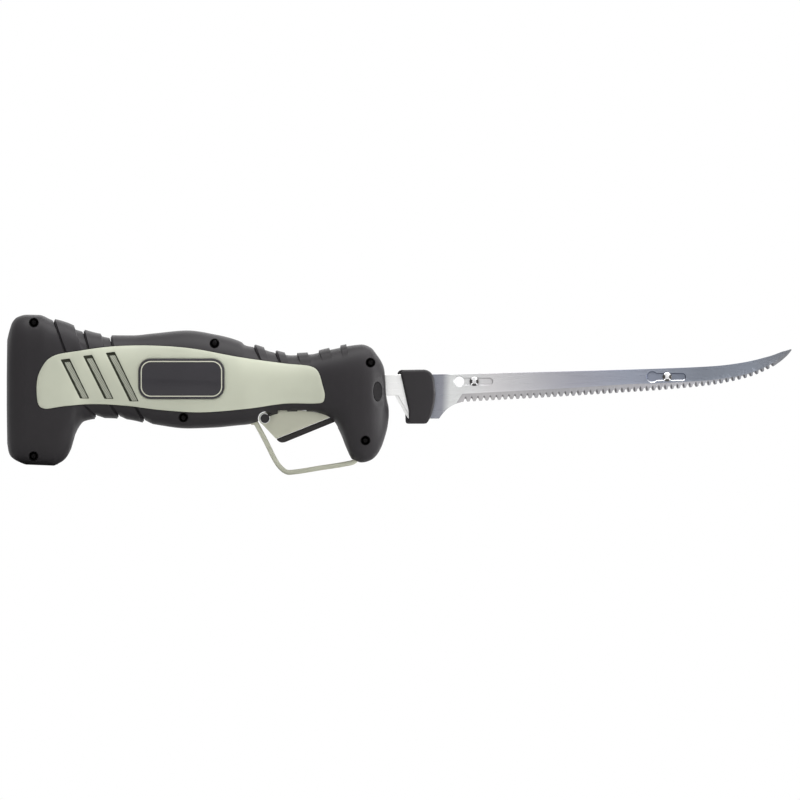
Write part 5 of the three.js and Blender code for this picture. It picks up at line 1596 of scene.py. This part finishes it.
def rivet_piece(name, x, z):
    """A rivet with a domed head on both sides; patches ahead, behind and below on each head are marked for
    a painted dark reflection.
    """
    face = BLADE_OUT + 0.12
    crown, shank = 2.6, 1.4
    dome = [(crown * math.sin(t), 0.15 + 0.65 * math.cos(t)) for t in np.linspace(0, math.pi / 2, 8)]
    profile = [(r, -face - h) for r, h in dome]
    profile += [(crown, -face), (shank, -face), (shank, face), (crown, face)]
    profile += [(r, face + h) for r, h in reversed(dome)]
    points, faces = lathed(profile, 40)
    middles = np.array([points[list(f)].mean(0) for f in faces])
    turn = np.degrees(np.arctan2(middles[:, 2], middles[:, 0]))
    # Patches ahead, behind and below on each dome get a painted dark reflection
    dark_sides = [np.abs((turn - at + 180) % 360 - 180) < 32 for at in (0, 180, 270)]
    painted_dark = (np.hypot(middles[:, 0], middles[:, 2]) > 1.2) & np.any(dark_sides, axis=0)
    points = points + np.array((x - REST_SHIFT, 0, z))
    return new_piece(f"{name}_domed", points, faces, painted_dark.astype(int))


def screw_piece(name, x, z, seat, side):
    """A screw with a cross in its head, which sits on the given side at a depth."""
    profile = [(0, -1.5), (1.1, -1.48), (1.75, -1.25), (2.1, -0.8), (2.2, -0.3), (2.2, 0)]
    profile += [(1.4, 0), (1.4, 14), (0.5, 15.4), (0, 15.4)]
    points, faces = lathed(profile, 36)
    points[:, 1] = side * (seat - points[:, 1])
    piece = new_piece(f"{name}_cross", points + np.array((x, 0, z)), faces)
    low, high = sorted((side * (seat + 0.6), side * (seat + 3)))
    return carve(piece, [("DIFFERENCE", block("cross", (x - rx, low, z - rz), (x + rx, high, z + rz)))
                         for rx, rz in ((1.25, 0.28), (0.28, 1.25))])


class FILLET_OT_fasteners(KnifeOperator, Operator):
    """Build the rivets through the blades and the screws of the casing"""

    bl_idname = "fillet.fasteners"
    bl_label = "Rivets and screws"

    def execute(self, context):
        bright = bare_metal("Rivet crown", (0.82, 0.82, 0.83), 0.18, (900.0, 900.0, 900.0), 0.05)
        # Dark metal for the painted dark reflection on the rivets' domes
        dark_reflection = bare_metal("Rivet painted dark reflection", (0.075, 0.072, 0.07), 0.3, (900.0, 900.0, 900.0), 0.1)
        black = bare_metal("Blackened screw", (0.019, 0.018, 0.0185), 0.5, (700.0, 700.0, 700.0), 0.1)
        for name, place in zip(("rear_rivet", "front_rivet"), BLADE_SLOTS):
            fit_out(rivet_piece(name, *place), "left_blade_set", [name], [bright, dark_reflection], 40)
        screws = [(name, place, SCREW_SEAT, -1) for name, place in CASE_SCREWS.items()]
        screws.append(("trigger_screw", PIVOT, PIVOT_SEAT, 1))
        for name, place, seat, side in screws:
            fit_out(screw_piece(name, *place, seat, side), "handle", [name], [black], 40)
        return {"FINISHED"}


class FILLET_OT_works(KnifeOperator, Operator):
    """Give the pieces inside the casing their finishes"""

    bl_idname = "fillet.works"
    bl_label = "Inner works"

    def execute(self, context):
        steel = bare_metal("Drawn steel", (0.6, 0.61, 0.63), 0.3, (200.0, 900.0, 900.0), 0.15)
        zinc = bare_metal("Zinc plate", (0.52, 0.53, 0.55), 0.38, (500.0, 500.0, 500.0), 0.15)
        bronze = bare_metal("Bronze", (0.6, 0.42, 0.16), 0.34, (400.0, 400.0, 400.0), 0.12)
        nylon = moulded("Nylon", (0.66, 0.64, 0.57), 0.5, 0.1, 1500.0, 0.03, 0.1)
        black = moulded("Black plastic", (0.025, 0.025, 0.028), 0.45, 0.15)
        wrap = moulded("Cell wrap", (0.08, 0.17, 0.3), 0.35, 0.04, 1200.0, 0.04, 0.1, 0.2)
        board = moulded("Board green", (0.03, 0.12, 0.05), 0.4, 0.1, 900.0, 0.08, 0.2, 0.3)
        red = moulded("Red lead", (0.4, 0.03, 0.025), 0.45, 0.05)
        dark = moulded("Black lead", (0.02, 0.02, 0.02), 0.45, 0.05)
        finishes = [
            (steel, ["motor_shaft", "gear_axle", "trigger_spring"]),
            (steel, [f"{hand}_{piece}" for hand, _ in SIDES for piece in ("blade_latch", "button_spring")]),
            (zinc, ["motor_can", "rear_cell_strap", "front_cell_strap"]),
            (bronze, ["worm", "shaft_bush"]),
            (nylon, ["drive_gear", "gear_frame", "right_yoke", "left_yoke"]),
            (black, ["motor_end_cap", "micro_switch", "charge_socket"]),
            (wrap, ["upper_cell", "lower_cell", "heel_cell"]),
            (board, ["control_board"]),
            (red, ["motor_lead_red", "switch_lead_feed"]),
            (dark, ["motor_lead_black", "switch_lead_return"]),
        ]
        for finish, name in [(finish, name) for finish, names in finishes for name in names]:
            mesh = frame["nodes"][name].data
            mesh.materials.clear()
            mesh.materials.append(finish)
            mesh.shade_smooth()
            mesh.set_sharp_from_angle(angle=math.radians(32))
        return {"FINISHED"}


# Lights of the studio: name, place, aim, width and height in metres, power in watts
LIGHTS = [
    ("overhead", (0.0, -0.1, 0.8), (-0.03, 0, 0.04), (1.0, 0.5), 7.4),
    ("front_right", (0.5, -0.85, 0.5), (-0.05, 0, 0.05), (0.7, 0.6), 0.8),
    ("far_right", (1.0, -0.12, 0.16), (-0.05, 0, 0.03), (0.5, 0.3), 9.0),
    ("behind", (0.1, 0.7, 0.5), (0, 0, 0.05), (0.9, 0.4), 1.6),
]
# Light of the room from below to above: share of the height, tint; and its strength
ROOM_TINTS = [
    (0.3, (0.4, 0.4, 0.41)), (0.5, (0.52, 0.52, 0.53)), (0.68, (0.74, 0.74, 0.74)), (0.95, (1, 1, 1)),
]
ROOM_LIGHT = 0.34
# Half size of the floor and how far it lies below the knife, in metres
FLOOR_HALF = 8
FLOOR_DROP = 0.0003
# Width of the camera's view in metres, and its middle in the working frame
VIEW_WIDTH = 0.456
VIEW_MIDDLE = (7.7 * MM, -1.0, 42.75 * MM)


def lay_floor(scene):
    mesh = bpy.data.meshes.new("floor")
    corners = ((-1, -1), (1, -1), (1, 1), (-1, 1))
    mesh.from_pydata([(x * FLOOR_HALF, y * FLOOR_HALF, 0) for x, y in corners], [], [(0, 1, 2, 3)])
    floor = bpy.data.objects.new("floor", mesh)
    scene.collection.objects.link(floor)
    floor.location.z = -FLOOR_DROP
    paper, _, surface = blank_material("Pale floor")
    surface["Base Color"].default_value = (0.88, 0.88, 0.88, 1)
    surface["Roughness"].default_value = 0.9
    mesh.materials.append(paper)


def light_room(scene):
    """A soft room that is seen, mirrored and looked through as plain white, and the lights in it."""
    world = bpy.data.worlds.new("Studio")
    scene.world = world
    world.use_nodes = True
    tree = world.node_tree
    tree.nodes.clear()
    place = node(tree, "ShaderNodeTexCoord").outputs["Generated"]
    up = node(tree, "ShaderNodeSeparateXYZ", {0: place}).outputs["Z"]
    tint = ramped(tree, mapped(tree, up, -1.0, 1.0), ROOM_TINTS)
    soft = node(tree, "ShaderNodeBackground", {"Color": tint, "Strength": ROOM_LIGHT})
    white = node(tree, "ShaderNodeBackground", {"Color": (1, 1, 1, 1), "Strength": 1.0})
    path = node(tree, "ShaderNodeLightPath").outputs
    mirrored = reckoned(tree, "MAXIMUM", path["Is Glossy Ray"], path["Is Transmission Ray"])
    seen = reckoned(tree, "MAXIMUM", path["Is Camera Ray"], mirrored)
    both = node(tree, "ShaderNodeMixShader", {0: seen, 1: soft.outputs[0], 2: white.outputs[0]})
    leave = tree.nodes.new("ShaderNodeOutputWorld")
    tree.links.new(both.outputs[0], leave.inputs["Surface"])
    for name, place, aim, size, power in LIGHTS:
        lamp = bpy.data.lights.new(name, "AREA")
        lamp.shape = "RECTANGLE"
        lamp.size, lamp.size_y = size
        lamp.energy = power
        made = bpy.data.objects.new(name, lamp)
        scene.collection.objects.link(made)
        made.location = place
        made.rotation_euler = (Vector(aim) - Vector(place)).to_track_quat("-Z", "Y").to_euler()


def set_camera(scene):
    """A flat view on the right side, level with the working frame."""
    lens = bpy.data.cameras.new("camera")
    lens.type = "ORTHO"
    lens.ortho_scale = VIEW_WIDTH
    lens.clip_start, lens.clip_end = 0.01, 10
    camera = bpy.data.objects.new("camera", lens)
    scene.collection.objects.link(camera)
    right, _, over = WORK.to_3x3().col
    spin = Matrix((right, over, -Vector((0, 1, 0)))).transposed()
    camera.matrix_world = Matrix.Translation(WORK @ Vector(VIEW_MIDDLE)) @ spin.to_4x4()
    scene.camera = camera


class FILLET_OT_stage(KnifeOperator, Operator):
    """Set the floor, the studio light and the camera"""

    bl_idname = "fillet.stage"
    bl_label = "Stage"

    def execute(self, context):
        lay_floor(context.scene)
        light_room(context.scene)
        set_camera(context.scene)
        context.scene.view_settings.view_transform = "Standard"
        return {"FINISHED"}


class FILLET_PT_sidebar(Panel):
    """Sidebar with the knife's settings and pieces"""

    bl_idname = "FILLET_PT_sidebar"
    bl_label = "Fillet knife"
    bl_space_type = "VIEW_3D"
    bl_region_type = "UI"
    bl_category = "Fillet knife"

    def draw(self, context):
        layout = self.layout
        for key in KnifeSettings.__annotations__:
            layout.prop(context.scene.fillet_knife, key)
        for operator in OPERATORS:
            layout.operator(operator.bl_idname)


OPERATORS = (
    FILLET_OT_casing, FILLET_OT_panels, FILLET_OT_guard, FILLET_OT_trigger, FILLET_OT_buttons,
    FILLET_OT_blades, FILLET_OT_collars, FILLET_OT_fasteners, FILLET_OT_works, FILLET_OT_stage,
)


def register():
    for made in (KnifeSettings, *OPERATORS, FILLET_PT_sidebar):
        bpy.utils.register_class(made)
    bpy.types.Scene.fillet_knife = PointerProperty(type=KnifeSettings)


def unregister():
    del bpy.types.Scene.fillet_knife
    for made in reversed((KnifeSettings, *OPERATORS, FILLET_PT_sidebar)):
        bpy.utils.unregister_class(made)


def main():
    register()
    bpy.ops.fillet.casing()
    bpy.ops.fillet.panels()
    bpy.ops.fillet.guard()
    bpy.ops.fillet.trigger()
    bpy.ops.fillet.buttons()
    bpy.ops.fillet.blades()
    bpy.ops.fillet.collars()
    bpy.ops.fillet.fasteners()
    bpy.ops.fillet.works()
    bpy.ops.fillet.stage()
    bpy.context.view_layer.update()


if __name__ == "__main__":
    main()
